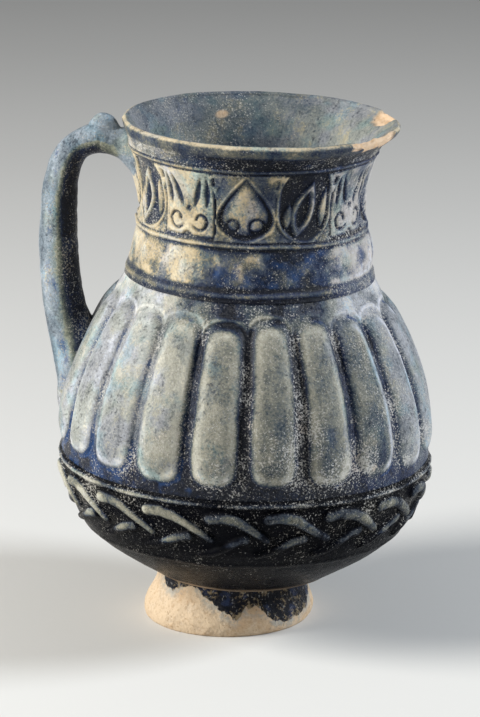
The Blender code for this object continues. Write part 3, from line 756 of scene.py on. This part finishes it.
def lobed_body(finish):
    outside_rows, inside_rows, columns = BODY_GRID
    profile = np.vstack((even_rows(BODY_WALL, outside_rows), even_rows(BODY_INNER, inside_rows)[::-1]))
    mesh, radius, around, height = pressed("lobed_body", profile, columns)
    outer = outer_share(radius, height, BODY_WALL, BODY_INNER)
    groove = LOBE_FIRST + math.pi / LOBE_COUNT
    around = around - GROOVE_CROWDING * np.sin(LOBE_COUNT * (around - groove)) / LOBE_COUNT
    spots = spots_of(radius, around, height)
    lobe = lobe_places(radius, around, height, spots)
    crown = (1.0 - np.clip(lobe.reach / lobe.half, 0.0, 1.0) ** 2) ** LOBE_CROWN
    to_end = np.minimum(height, BODY_HEIGHT - height)
    ground = LOBE_STEP + (LOBE_DEPTH - LOBE_STEP) * np.clip(to_end / LOBE_FADE, 0.0, 1.0)
    wear = mottle(spots, 0.012, 2.0)
    broad = mottle(spots, 0.035, 22.0)
    arch = ridge(lobe.outline + ARCH_GAP, ARCH_HALF)
    arch = arch * smooth(lobe.high - lobe.half, lobe.high - 0.4 * lobe.half, height)
    arch = arch * smooth(BODY_HEIGHT, BODY_HEIGHT - 0.0012, height)
    arch = arch * np.clip(0.4 + 1.3 * broad + 0.7 * ridge(around + 0.26, 0.40), 0.0, 1.0)
    change = -ground * (1.0 - crown) + ARCH_RISE * arch + BODY_WOBBLE * wear
    change += handle_clay(around, height + BODY_SEAM, *LOW_SMEAR)
    set_polar(mesh, radius + change * outer, around, height)
    raised, crusty, blue, warm = lobe_wear_and_light(lobe, around, height, arch, wear, broad)
    mark(mesh, raised=raised, inner=1.0 - outer, bare=0.0, crusty=crusty * outer, blue=blue * outer,
         warm=warm * outer)
    put("lobed_body", mesh, pot_place(BODY_SEAM), finish, "fluted_body")


# One strand of the braid, in degrees to the right of its start and metres above the seat
UPPER_LIMB = ((0.0, 0.0396), (4.0, 0.0402), (8.5, 0.0391), (12.0, 0.0366), (16.0, 0.0334), (19.0, 0.0308))
LOWER_LIMB = ((15.5, 0.0240), (19.5, 0.0252), (24.0, 0.0278), (28.0, 0.0302), (31.0, 0.0312))
UPPER_HALVES = (0.0024, 0.0015)
LOWER_HALVES = (0.0013, 0.0021)


def limb(around, height, points, start, halves):
    """A limb of a strand: its first half width up to start, then drawn out to its last."""
    offset = fold(around, STRAND_COUNT, STRAND_FIRST)[0]
    line = [(math.radians(angle) * BELLY_RADIUS, up) for angle, up in points]
    first, last = halves
    most = np.zeros(height.shape)
    for repeat in (-1, 0, 1, 2):
        across = (offset + repeat * math.tau / STRAND_COUNT) * BELLY_RADIUS
        distance, along = stroke(across, height, line)
        half = first + (last - first) * np.maximum(along - start, 0.0) / (1.0 - start)
        most = np.maximum(most, dome(half - distance, half))
    return most


def braided_bowl(finish):
    outside_rows, inside_rows, columns = BOWL_GRID
    under = [(0.0, 0.0), (SEAT_RADIUS * 0.5, 0.0)]
    inside = rows_at(BOWL_INNER, BOWL_FLOOR, BOWL_HEIGHT, inside_rows)[::-1]
    profile = np.vstack((under, even_rows(BOWL_WALL, outside_rows), inside, [(0.0, BOWL_FLOOR)]))
    mesh, radius, around, height = pressed("braided_bowl", profile, columns, closed=False)
    outer = outer_share(radius, height, BOWL_WALL, BOWL_INNER)
    spots = spots_of(radius, around, height)
    wander = BRAID_WANDER * mottle(spots, 0.03, 4.0)
    sway = BRAID_SWAY * mottle(spots, 0.02, 6.0)
    upper = limb(around + wander, height + sway, UPPER_LIMB, 0.35, UPPER_HALVES)
    lower = limb(around + wander, height + sway, LOWER_LIMB, 0.0, LOWER_HALVES)
    strands = np.maximum(upper, 0.8 * lower)
    belly = ridge(height + sway * 0.5 - BELLY_BEAD, BEAD_HALF)
    low_bead = ridge(height + sway - BRAID_LOW_BEAD, BEAD_HALF) * 0.4
    edge = ridge(height - SEAT_BEAD_HEIGHT, SEAT_BEAD_HALF)
    wear = mottle(spots, 0.011, 5.0)
    change = STRAND_RISE * strands + BEAD_RISE * (belly + low_bead) * (0.85 + 0.3 * wear)
    change += SEAT_BEAD_RISE * edge
    change += BOWL_WOBBLE * wear - BELLY_SINK * smooth(BELLY_BEAD + 0.001, BOWL_HEIGHT, height)
    change += FLANK_SWELL * ridge(height - FLANK_HEIGHT, FLANK_HALF)
    set_polar(mesh, radius + change * outer, around, height)
    tips = lower * smooth(0.0254, 0.0294, height)
    left = smooth(-0.10, -0.60, np.sin(around))
    rubbed = smooth(0.05, 0.70, upper)
    crest = np.maximum(0.55 * rubbed + 0.45 * upper, tips)
    # Painted light: the strands and the belly bead paler on the left.
    raised = np.maximum(crest * (0.60 + 0.40 * left), belly * (0.54 + 0.32 * left))
    raised = raised * np.clip(0.92 + 0.5 * wear, 0.5, 1.1)
    sides = np.abs(np.sin(around / 2.0)) ** 1.3
    high_part = smooth(0.010, 0.034, height)
    # Painted light and shade: the upper bowl paler towards the sides and back, darkest at the front.
    raised += 0.30 * sides * high_part - 0.06
    crusty = np.clip((0.10 + 0.55 * sides) * high_part * (0.7 + 0.9 * wear) + 0.25 * belly, 0.0, 1.0)
    seat = edge * outer * (radius > SEAT_RADIUS - 0.001)
    mark(mesh, raised=blend(0.45, raised, outer), inner=1.0 - outer, bare=(0.25 + 0.45 * left) * seat,
         crusty=crusty * outer, blue=0.35 * sides * high_part * (1.0 - 1.6 * crest) * outer,
         warm=(0.8 * crest + 0.5 * belly - 0.2) * outer)
    put("braided_bowl", mesh, POT_PLACE, finish, "lower_bowl")


# Motifs of the frieze, in metres across from a motif's middle and up from the frieze's foot

def heart_motif(across, up):
    """A broad leaf with two curls, in a drop-shaped frame sunk into the ground."""
    depth = drop(across, up, 0.0002, 0.0256, 0.0222, 0.60)
    ground = 0.66 * smooth(0.0006, -0.0008, depth)
    leaf = drop(across, up, 0.0026, 0.0244, 0.0172, 0.62)
    most = 0.92 * dome(leaf, 0.0040)
    for side, size in ((-1.0, 0.0022), (1.0, 0.0027)):
        curl = np.hypot(across - side * 0.0044, up - 0.0062)
        most = most - 0.6 * ridge(curl - size, 0.0011) * smooth(0.0105, 0.0080, up)
    return np.clip(np.maximum(most, np.maximum(0.9 * ridge(depth, 0.0016), ground)), 0.0, 1.0)


def scroll_motif(across, up):
    """A palmette of blades standing proud over two scrolls, cut by fine lines."""
    most = 0.86 * smooth(0.0112, 0.0098, np.abs(across)) * smooth(0.0002, 0.0020, up)
    for side in (-1.0, 1.0):
        x = across - side * 0.0050
        y = up - 0.0066
        spread = np.hypot(x, y * 0.9)
        turned = np.arctan2(y, side * x)
        most = most - 0.8 * ridge(spread - 0.0026 + 0.0003 * turned, 0.0009) * smooth(-2.9, -2.0, turned)
        for aside, lean, length, width in ((0.0024, 0.30, 0.0125, 0.0022), (0.0074, 0.10, 0.0120, 0.0020)):
            place = tilted(across, up, (side * aside, 0.0118), side * lean)
            most = most - 0.8 * smooth(-0.0004, 0.0006, drop(*place, 0.0, length, width, 0.8))
    most = most - 0.7 * smooth(0.0026, 0.0012, np.hypot(across, up - 0.0008))
    most = most - 0.7 * smooth(0.0014, 0.0006, np.hypot(across, up - 0.0112))
    return np.clip(most, 0.0, 1.0)


def slim_leaf_motif(across, up):
    """A hollow leaning leaf between two small ones, in an open sunk frame."""
    frame_line = np.hypot(across, np.minimum(up - 0.0105, 0.0)) - 0.0104
    most = np.maximum(0.85 * ridge(frame_line, 0.0014), 0.66 * smooth(0.0002, 0.0014, frame_line))
    middle_leaf = drop(*tilted(across, up, (-0.0034, 0.0014), 0.26), 0.0, 0.0225, 0.0092, 0.9)
    most = np.maximum(most, ridge(middle_leaf - 0.0013, 0.0019))
    for side, high in ((-1.0, 0.0150), (1.0, 0.0205)):
        leaf = drop(*tilted(across, up, (side * 0.0068, 0.0050), 0.10), 0.0, high - 0.0050, 0.0036, 0.8)
        most = np.maximum(most, 0.85 * dome(leaf, 0.0015))
    return most


def spandrel(across, up):
    """Two small hanging triangles between motifs, with a round hollow between them."""
    most = dome(np.minimum(up - 0.0170 - 2.0 * np.abs(across), 0.0254 - up), 0.0012)
    hollow = np.hypot(across, up - 0.0222)
    return most - smooth(0.0021, 0.0013, hollow)


def frieze(around, radius, height):
    """Three motifs by turns round the neck, with triangles between their tips."""
    offset, number = fold(around, MOTIF_COUNT, MOTIF_FIRST)
    across = offset * radius
    up = height - FRIEZE_LOW
    kinds = [heart_motif(across, up), slim_leaf_motif(across, up), scroll_motif(across, up)]
    carved = np.choose(number % 3, kinds)
    between = fold(around, MOTIF_COUNT, MOTIF_FIRST + math.pi / MOTIF_COUNT)[0]
    hanging = spandrel(between * radius, up)
    carved = np.clip(np.where(hanging < 0.0, carved + hanging, np.maximum(carved, 0.9 * hanging)), 0.0, 1.0)
    return carved * smooth(-0.0004, 0.0004, up) * smooth(FRIEZE_HIGH + 0.0002, FRIEZE_HIGH - 0.0004, height)


# Lining of the neck and mouth
LINING_CRUST = 0.28
LINING_BLUE = 0.36
LINING_WARM = -0.3


def lining_tone(around):
    """How pale the inside is, with painted shade: darkest at the back, and a little darker on the left than
    on the right.
    """
    return 0.62 + 0.07 * np.sin(around) - 0.22 * ridge(np.abs(around) - math.pi, 0.9)


def lining_fleck(around):
    """Where the inside is bluest and most flecked, at the back left."""
    return (0.5 + 0.5 * np.cos(around + math.radians(140.0))) ** 6


def inside_spot(around, height):
    """A spot of bare clay inside the mouth, at the back left."""
    gap = np.hypot((around + math.radians(163.0)) * NECK_TOP_RADIUS, 1.9 * (height - MOUTH_SEAM - 0.0016))
    return 0.8 * smooth(0.0034, 0.0018, gap)


def leaf_neck(finish):
    outside_rows, inside_rows, columns = NECK_GRID
    inside = rows_at(NECK_INNER, 0.0, NECK_HEIGHT, inside_rows)[::-1]
    profile = np.vstack((even_rows(NECK_WALL, outside_rows), inside))
    mesh, radius, around, height = pressed("leaf_neck", profile, columns)
    outer = outer_share(radius, height, NECK_WALL, NECK_INNER)
    spots = spots_of(radius, around, height)
    wander = FRIEZE_WANDER * mottle(spots, 0.02, 8.0)
    sway = FRIEZE_SWAY * mottle(spots, 0.016, 9.0)
    wear = mottle(spots, 0.010, 10.0)
    carved = frieze(around + wander, radius, height + sway)
    carved = carved * np.clip(0.92 + 0.35 * wear, 0.35, 1.1)
    leaning = np.sin(around) + 0.12 * wear
    left = smooth(-0.22, -0.52, leaning)
    right = smooth(0.48, 0.80, leaning)
    beads = ridge(height + sway - SHOULDER_BEAD, BEAD_HALF) * (0.8 - 0.4 * left - 0.6 * right)
    beads += ridge(height + sway - FRIEZE_LOW_BEAD, BEAD_HALF * 0.8)
    beads += ridge(height + sway * 0.5 - FRIEZE_TOP_BEAD, BEAD_HALF * 0.6) * 0.7
    aside = fold(around, ROUNDEL_COUNT, 0.0)[0] * radius
    spread = np.hypot(aside, height + sway - ROUNDEL_HEIGHT)
    roundels = ridge(spread - ROUNDEL_RADIUS, ROUNDEL_HALF) * np.clip(0.7 + wear, 0.0, 1.0)
    band = smooth(0.021, 0.023, height) * smooth(0.0475, 0.046, height)
    change = FRIEZE_RISE * (carved - FRIEZE_SINK * band)
    change += BEAD_RISE * 0.9 * beads * (0.85 + 0.35 * wear) + ROUNDEL_RISE * roundels + NECK_WOBBLE * wear
    change += COLLAR_SWELL * right * ridge(height - COLLAR_HEIGHT, COLLAR_HALF)
    change += handle_clay(around, height + SHOULDER_SEAM, *HIGH_SMEAR)
    set_polar(mesh, radius + change * outer, around, height)
    collar = smooth(0.004, 0.006, height) * smooth(0.019, 0.017, height)
    blotches = mottle(spots, 0.025, 24.0)
    raised = np.maximum(0.68 * carved, beads * 0.56) + collar * (0.27 + 0.10 * roundels + 0.34 * wear)
    # Painted light: the neck paler on the left and on the right, most on the collar and, on the right, at the
    # foot of the neck.
    raised += 0.26 * left + collar * (0.14 * left + 0.46 * right) + 0.12 * right * carved + 0.08 * blotches
    raised += 0.34 * right * smooth(0.0075, 0.0045, height)
    blue = (1.0 - left) * (0.10 + 0.22 * collar + 0.15 * (1.0 - carved))
    crusty = np.clip(0.08 + (0.26 * left + 0.42 * right) * (0.7 + 0.9 * wear) + 0.30 * blotches, 0.0, 1.0)
    fleck = lining_fleck(around)
    mark(mesh, raised=blend(lining_tone(around), raised, outer), inner=1.0 - outer,
         bare=inside_spot(around, height + SHOULDER_SEAM) * (1.0 - outer),
         crusty=blend(LINING_CRUST * fleck, crusty, outer), blue=blend(LINING_BLUE * fleck, blue, outer),
         warm=blend(LINING_WARM, 0.3 * left - 0.8 * right, outer))
    put("leaf_neck", mesh, pot_place(SHOULDER_SEAM), finish, "neck")


# Chips in the lip: middle and half width in degrees from the front, depth, and whether the inner edge broke
LIP_CHIPS = ((57.0, 18.0, 0.0014, False), (107.0, 10.0, 0.0016, True))
CHIP_HEIGHT = 0.0046
CHIP_RAGGED = 0.25
CHIP_STOP = 0.0006


def chipped(radius, around, height, coarse, outer, edge):
    """The lip with its chips broken out: radius, height and where bare clay shows."""
    bare = np.zeros(height.shape)
    for where, half, depth, inner_edge in LIP_CHIPS:
        aside = np.abs(np.degrees(around) - where) / half
        below = np.clip(MOUTH_HEIGHT - height, 0.0, None) / CHIP_HEIGHT
        patch = smooth(1.0, 0.8, np.hypot(aside, below) + CHIP_RAGGED * coarse)
        broken = patch * (1.0 - outer if inner_edge else outer)
        far_edge = LIP_RADIUS - (CHIP_STOP if inner_edge else LIP_THICKNESS - CHIP_STOP)
        radius = radius + broken * np.clip(far_edge - radius, -depth, depth) * (0.8 + 0.3 * coarse)
        patch = np.maximum(broken, patch * edge)
        height = height - patch * depth * 0.5 * (1.0 + 0.6 * coarse)
        bare = np.maximum(bare, patch)
    return radius, height, bare


def rolled_mouth(finish):
    outside_rows, inside_rows, columns = MOUTH_GRID
    rolled = round_edge(LIP_RADIUS - LIP_EDGE, MOUTH_HEIGHT - LIP_EDGE, LIP_EDGE, 0.0, math.pi, LIP_ROWS)[1:]
    low_radius = radius_at(NECK_INNER, NECK_HEIGHT)
    throat = curve((low_radius, 0.0), (low_radius + THROAT_FLARE, MOUTH_HEIGHT * THROAT_PULLS[0]),
                   (rolled[-1][0] - THROAT_DRAW, MOUTH_HEIGHT * THROAT_PULLS[1]), tuple(rolled[-1]))
    inside = even_rows(throat, inside_rows)[::-1][1:]
    profile = np.vstack((even_rows(MOUTH_WALL, outside_rows), rolled, inside))
    mesh, radius, around, height = pressed("rolled_mouth", profile, columns)
    outer = outer_share(radius, height, MOUTH_WALL, throat)
    spots = spots_of(radius, around, height)
    wear = mottle(spots, 0.008, 12.0)
    coarse = mottle(spots, 0.0035, 13.0)
    on_lip = smooth(MOUTH_HEIGHT - 0.0054, MOUTH_HEIGHT - 0.0040, height)
    edge = smooth(MOUTH_HEIGHT - 0.0016, MOUTH_HEIGHT - 0.0004, height)
    lined = smooth(LIP_RADIUS - 0.0007, LIP_RADIUS - 0.0011, radius) * np.maximum(edge, 1.0 - outer)
    radius, height, bare = chipped(radius, around, height, coarse, outer, edge)
    left = smooth(-0.15, -0.75, np.sin(around))
    roll = LIP_ROLL * ridge(height - MOUTH_HEIGHT + LIP_ROLL_BELOW, LIP_ROLL_HALF) * outer
    radius = radius + roll * (1.0 - 0.9 * left) + MOUTH_WOBBLE * wear + LIP_WOBBLE * coarse * on_lip
    height = height + LIP_DIP * mottle(spots, 0.03, 14.0) * on_lip
    points = spots_of(radius, around, height)
    points[:, 0] += LIP_DRIFT * np.clip(height / MOUTH_HEIGHT, 0.0, None)
    set_points(mesh, points)
    sides = np.abs(np.sin(around))
    # Painted light and shade: below the lip the flare is paler on the left and at the sides and dark at the
    # front.
    raised = blend(0.42 * left + 0.16 * sides, 0.40, on_lip) + 0.34 * edge * (1.0 - lined) + 0.12 * wear
    crusty = np.clip(0.15 + 0.55 * sides * (0.6 + 0.8 * wear), 0.0, 1.0) * (1.0 - on_lip)
    bare = np.maximum(bare, inside_spot(around, height + MOUTH_SEAM) * lined)
    fleck = lining_fleck(around)
    mark(mesh, raised=blend(raised, lining_tone(around), lined), inner=lined, bare=bare,
         crusty=blend(crusty, LINING_CRUST * fleck, lined),
         blue=blend(0.25 * (1.0 - on_lip), LINING_BLUE * fleck, lined),
         warm=blend(0.3 * on_lip, LINING_WARM - 0.5 * left, lined))
    put("rolled_mouth", mesh, pot_place(MOUTH_SEAM), finish, "mouth")


# Lower edge of the glaze that ran over the foot: degrees from the front, and height above the table
RUN_EDGE = ((-180, 0.0160), (-120, 0.0150), (-95, 0.0165), (-70, 0.0180), (-60, 0.0145), (-50, 0.0136),
            (-42, 0.0162), (-32, 0.0174), (-20, 0.0140), (-5, 0.0095), (5, 0.0068), (11, 0.0105),
            (20, 0.0110), (30, 0.0060), (40, 0.0036), (50, 0.0044), (68, 0.0070), (85, 0.0120),
            (110, 0.0150), (150, 0.0142), (180, 0.0160))


def turned_foot(finish):
    flare_rows, inside_rows, columns = FOOT_GRID
    widest = (FOOT_WIDEST_RADIUS, FOOT_WIDEST_HEIGHT)
    flare = curve(widest, (FOOT_WIDEST_RADIUS, FOOT_HEIGHT * FOOT_PULLS[0]),
                  (FOOT_TOP_RADIUS, FOOT_HEIGHT * FOOT_PULLS[1]), (FOOT_TOP_RADIUS, FOOT_HEIGHT))
    round_base = curve((FOOT_BASE_RADIUS, 0.0), (FOOT_BASE_RADIUS + FOOT_ROUND[0], FOOT_ROUND[1]),
                       (FOOT_WIDEST_RADIUS, FOOT_WIDEST_HEIGHT * 0.5), widest)
    outside = np.vstack((even_rows(round_base, FOOT_ROUND_ROWS), even_rows(flare, flare_rows)[1:]))
    inside = np.linspace((FOOT_INNER_RADIUS, FOOT_HEIGHT), (FOOT_INNER_RADIUS, 0.0), inside_rows)
    base = np.linspace((FOOT_INNER_RADIUS, 0.0), (FOOT_BASE_RADIUS, 0.0), FOOT_BASE_ROWS)[1:-1]
    mesh, radius, around, height = pressed("turned_foot", np.vstack((outside, inside, base)), columns)
    spots = spots_of(radius, around, height)
    outer = (radius > (FOOT_INNER_RADIUS + FOOT_TOP_RADIUS) / 2).astype(float) * (height > FOOT_FLAT)
    rough = mottle(spots, 0.006, 15.0, 4)
    angles, edges = np.array(RUN_EDGE).T
    jags = RUN_JAG * mottle(spots * (1.0, 1.0, 0.3), 0.0028, 16.0)
    past_edge = height - (np.interp(np.degrees(around), angles, edges) + jags)
    run = smooth(-0.0014, 0.0012, past_edge) * outer
    halo = smooth(-0.0050, 0.0, past_edge + RUN_JAG * rough) * outer
    share = height / FOOT_HEIGHT
    points = spots_of(radius + (FOOT_WOBBLE * rough + RUN_RISE * run) * outer, around, height)
    points[:, 0] += FOOT_TOP_DRIFT * share
    points[:, 2] -= (points[:, 0] - POT_OFFSET) * math.tan(LEAN) * share
    set_points(mesh, points)
    mark(mesh, run=run, halo=halo)
    put("turned_foot", mesh, FOOT_PLACE, finish, "foot_ring")


def handle_stations():
    """The rod's middle line as (x, z, direction, rod radius), from the body up and over to the neck."""
    low_x = radius_at(BODY_WALL, HANDLE_LOW_Z - BODY_SEAM) - HANDLE_LOW_BITE
    out_x = NECK_WALL[:, 0].min() + FINGER_GAP + HANDLE_RADIUS
    high_x = radius_at(NECK_WALL, HANDLE_HIGH_Z - SHOULDER_SEAM) - HANDLE_BITE
    arch_x = high_x + HANDLE_BITE + HANDLE_ARCH_FROM_NECK
    return ((-low_x, HANDLE_LOW_Z, HANDLE_LOW_DIRECTION, HANDLE_LOW_RADIUS),
            (-out_x, HANDLE_OUT_Z, math.pi / 2, HANDLE_RADIUS),
            (-arch_x, HANDLE_ARCH_Z, 0.0, HANDLE_ARCH_RADIUS),
            (-high_x, HANDLE_HIGH_Z, HANDLE_HIGH_DIRECTION, HANDLE_HIGH_RADIUS))


HANDLE_PLACE = POT_PLACE @ Matrix.Rotation(math.radians(90.0) + HANDLE_AROUND, 4, "Z")
ARCH_X, ARCH_Z = handle_stations()[2][:2]


def rod_path():
    """The handle's middle line as a curve with a round section."""
    path = bpy.data.curves.new("rod_path", "CURVE")
    path.dimensions = "3D"
    path.resolution_u = ROD_STEPS
    path.bevel_depth = 1.0
    path.bevel_resolution = ROD_ROUND_STEPS
    path.use_fill_caps = True
    spline = path.splines.new("BEZIER")
    stations = handle_stations()
    spline.bezier_points.add(len(stations) - 1)
    pulls = (HANDLE_PULL, HANDLE_BEND_PULL, HANDLE_PULL, HANDLE_PULL)
    for index, (x, z, direction, radius) in enumerate(stations):
        point = spline.bezier_points[index]
        before = stations[max(0, index - 1)]
        after = stations[min(len(stations) - 1, index + 1)]
        back = pulls[max(0, index - 1)] * math.hypot(x - before[0], z - before[1])
        ahead = pulls[index] * math.hypot(after[0] - x, after[1] - z)
        way = Vector((math.cos(direction), 0.0, math.sin(direction)))
        point.handle_left_type = "FREE"
        point.handle_right_type = "FREE"
        point.co = (x, 0.0, z)
        point.handle_left = point.co - way * back
        point.handle_right = point.co + way * ahead
        point.radius = radius
    return path


def rod_skin():
    """The handle's tube before it is pressed into shape."""
    holder = bpy.data.objects.new("rod_path", rod_path())
    bpy.context.scene.collection.objects.link(holder)
    bpy.context.view_layer.update()
    tube = bpy.data.meshes.new_from_object(holder.evaluated_get(bpy.context.evaluated_depsgraph_get()))
    bpy.data.objects.remove(holder)
    skin = bmesh.new()
    skin.from_mesh(tube)
    bmesh.ops.remove_doubles(skin, verts=skin.verts, dist=MERGE_DISTANCE)
    bmesh.ops.recalc_face_normals(skin, faces=skin.faces)
    skin.normal_update()
    return skin


def rod_handle(finish):
    skin = rod_skin()
    outward = np.array([vert.normal for vert in skin.verts])
    mesh = mesh_of("rod_handle", skin)
    points = points_of(mesh)
    gap = np.hypot(points[:, 0], points[:, 1]) - pot_radius(points[:, 2])
    flare = HANDLE_FLARE * np.exp(-np.maximum(gap, 0.0) / HANDLE_FLARE_REACH)
    dents = HANDLE_DENT * mottle(points, 0.012, 17.0) + HANDLE_GRAIN * mottle(points, 0.004, 18.0)
    from_knob = points[:, 0] - ARCH_X - THUMB_TO_NECK
    swell = THUMB_SWELL * np.exp(-(from_knob / THUMB_SWELL_REACH) ** 2) * smooth(0.005, -0.003, from_knob)
    swell = swell * np.clip(outward[:, 2], 0.0, 1.0) * (points[:, 2] > HANDLE_OUT_Z)
    points = points + outward * (flare + dents + swell)[:, None]
    least = (pot_radius(points[:, 2]) - HANDLE_END_SHARE * WALL) / np.hypot(points[:, 0], points[:, 1])
    points[:, :2] *= np.maximum(least, 1.0)[:, None]
    set_points(mesh, points)
    streaks = mottle(points * (1.0, 1.0, 0.25), 0.005, 19.0)
    # Painted shade: pale on the rod's outer side and dark on the side towards the neck, with a buff strip
    # along the change.
    shaded = smooth(-0.45, 0.65, outward[:, 0] - 0.5 * outward[:, 2])
    strip = ridge(shaded - 0.55, 0.40)
    mark(mesh, raised=0.60 - 0.50 * smooth(0.35, 0.95, shaded) + 0.25 * streaks, inner=0.0, bare=0.0,
         crusty=np.clip(0.1 + 0.15 * shaded + 0.4 * streaks, 0.0, 1.0),
         blue=(0.28 + 0.45 * streaks) * (1.0 - strip), warm=1.8 * strip - 0.8)
    put("rod_handle", mesh, HANDLE_PLACE, finish, "handle")


def thumb_knob(finish):
    side = curve((THUMB_RADIUS, 0.0), (THUMB_WAIST, THUMB_HEIGHT * THUMB_WAIST_PULL),
                 (THUMB_CROWN, THUMB_HEIGHT), (0.0, THUMB_HEIGHT))
    profile = np.vstack(([(0.0, 0.0)], even_rows(side, KNOB_ROWS)))
    mesh = turn("thumb_knob", profile, KNOB_COLUMNS, closed=False)
    points = points_of(mesh)
    points[:, 1] *= THUMB_PINCH
    dents = mottle(points, 0.007, 20.0)
    points = points * (1.0 + 0.05 * dents[:, None])
    points[:, 0] += ARCH_X + THUMB_TO_NECK
    points[:, 2] += ARCH_Z
    set_points(mesh, points)
    mark(mesh, raised=0.58 + 0.30 * dents, inner=0.0, bare=0.0, crusty=np.clip(0.1 + dents, 0.0, 1.0),
         blue=0.3 + 0.3 * dents, warm=-0.7)
    put("thumb_knob", mesh, HANDLE_PLACE, finish, "thumb_rest")


def seam_strip(name, seam, below, above, finish, node):
    """Strip of clay pressed over a seam inside the pot, with the marks of fingers along it."""
    half = STRIP_HEIGHT / 2
    heights = np.linspace(-half, half, STRIP_ROWS)
    back = np.where(heights < 0.0, radius_at(below, heights + below[-1, 1]), radius_at(above, heights))
    crown = back.min() - STRIP_THICKNESS
    front = crown + (back - crown) * (np.abs(heights) / half) ** 4 - STRIP_LIFT
    profile = np.vstack((np.column_stack((back, heights)), np.column_stack((front, heights))[::-1]))
    mesh, radius, around, height = pressed(name, profile, STRIP_COLUMNS)
    wander = 2.0 * mottle(spots_of(radius, around, height), 0.05, 21.0)
    presses = STRIP_PRESS_DEPTH * np.cos(around * STRIP_PRESSES + wander)
    on_front = (radius < np.interp(height, heights, back) - 0.0004).astype(float)
    set_polar(mesh, radius + presses * on_front, around, height)
    put(name, mesh, pot_place(seam), finish, node)


def build_jug():
    lobed_body(worn_glaze("lobe_glaze", LOBE_STOPS, buff_share=0.4, gloss=0.30, mirror=0.25))
    braided_bowl(worn_glaze("dark_glaze", BOWL_STOPS, buff_share=0.5, gloss=0.30, mirror=0.04))
    leaf_neck(worn_glaze("frieze_glaze", NECK_STOPS, buff_share=0.8, gloss=0.38, mirror=0.18))
    rolled_mouth(worn_glaze("lip_glaze", NECK_STOPS, buff_share=0.6, gloss=0.38, mirror=0.18))
    rod_glaze = worn_glaze("handle_glaze", HANDLE_STOPS, buff_share=0.8, gloss=0.34, mirror=0.25)
    rod_handle(rod_glaze)
    thumb_knob(rod_glaze)
    turned_foot(foot_finish())
    strips = strip_finish()
    seam_strip("belly_seam_strip", BODY_SEAM, BOWL_INNER, BODY_INNER, strips, "belly_luting_coil")
    seam_strip("neck_seam_strip", SHOULDER_SEAM, BODY_INNER, NECK_INNER, strips, "neck_luting_coil")


# Stage: pale floor, soft light and the camera at the photograph's angle

IMAGE_HEIGHT = 717
PIXEL_SIZE = 0.000375
CAMERA_DISTANCE = 1.45
CAMERA_ELEVATION = math.radians(15.5)
CAMERA_TARGET = Vector((0.00125, 0.0, 0.09958))
SENSOR = 36.0
FLOOR_SIZE = 8.0
FLOOR_TONES = (tone(0.60, 0.595, 0.58), tone(0.63, 0.625, 0.61))


def floor():
    skin = bmesh.new()
    bmesh.ops.create_grid(skin, x_segments=2, y_segments=2, size=FLOOR_SIZE)
    mesh = mesh_of("floor", skin)
    plain = Finish("pale_floor")
    colour = plain.mix(*FLOOR_TONES, plain.cloud(0.35, 2.0))
    mesh.materials.append(plain.end(colour, 0.8, plain.cloud(0.004, 3.0), 0.00005))
    piece = bpy.data.objects.new("floor", mesh)
    bpy.context.scene.collection.objects.link(piece)


def lamp(name, place, size, power, colour):
    light = bpy.data.lights.new(name, "AREA")
    light.shape = "DISK"
    light.size = size
    light.energy = power
    light.color = colour
    holder = bpy.data.objects.new(name, light)
    holder.location = place
    holder.rotation_euler = (CAMERA_TARGET - Vector(place)).to_track_quat("-Z", "Y").to_euler()
    bpy.context.scene.collection.objects.link(holder)


def lights():
    lamp("key_lamp", (-1.20, -0.28, 0.80), 0.7, 33.0, (1.0, 0.985, 0.94))
    lamp("side_lamp", (1.15, -0.05, 0.75), 0.5, 20.0, (0.90, 0.95, 1.0))
    world = bpy.data.worlds.new("studio")
    world.use_nodes = True
    sky = world.node_tree.nodes["Background"]
    sky.inputs["Color"].default_value = tone(0.86, 0.90, 1.0)
    sky.inputs["Strength"].default_value = 0.08
    bpy.context.scene.world = world


def camera():
    lens = bpy.data.cameras.new("camera")
    lens.sensor_fit = "VERTICAL"
    lens.sensor_height = SENSOR
    lens.lens = CAMERA_DISTANCE / PIXEL_SIZE / IMAGE_HEIGHT * SENSOR
    holder = bpy.data.objects.new("camera", lens)
    away = Vector((0.0, -math.cos(CAMERA_ELEVATION), math.sin(CAMERA_ELEVATION)))
    holder.location = CAMERA_TARGET + away * CAMERA_DISTANCE
    holder.rotation_euler = (math.pi / 2 - CAMERA_ELEVATION, 0.0, 0.0)
    bpy.context.scene.collection.objects.link(holder)
    bpy.context.scene.camera = holder


build_jug()
floor()
lights()
camera()
bpy.context.scene.view_settings.view_transform = "Standard"
bpy.context.view_layer.update()
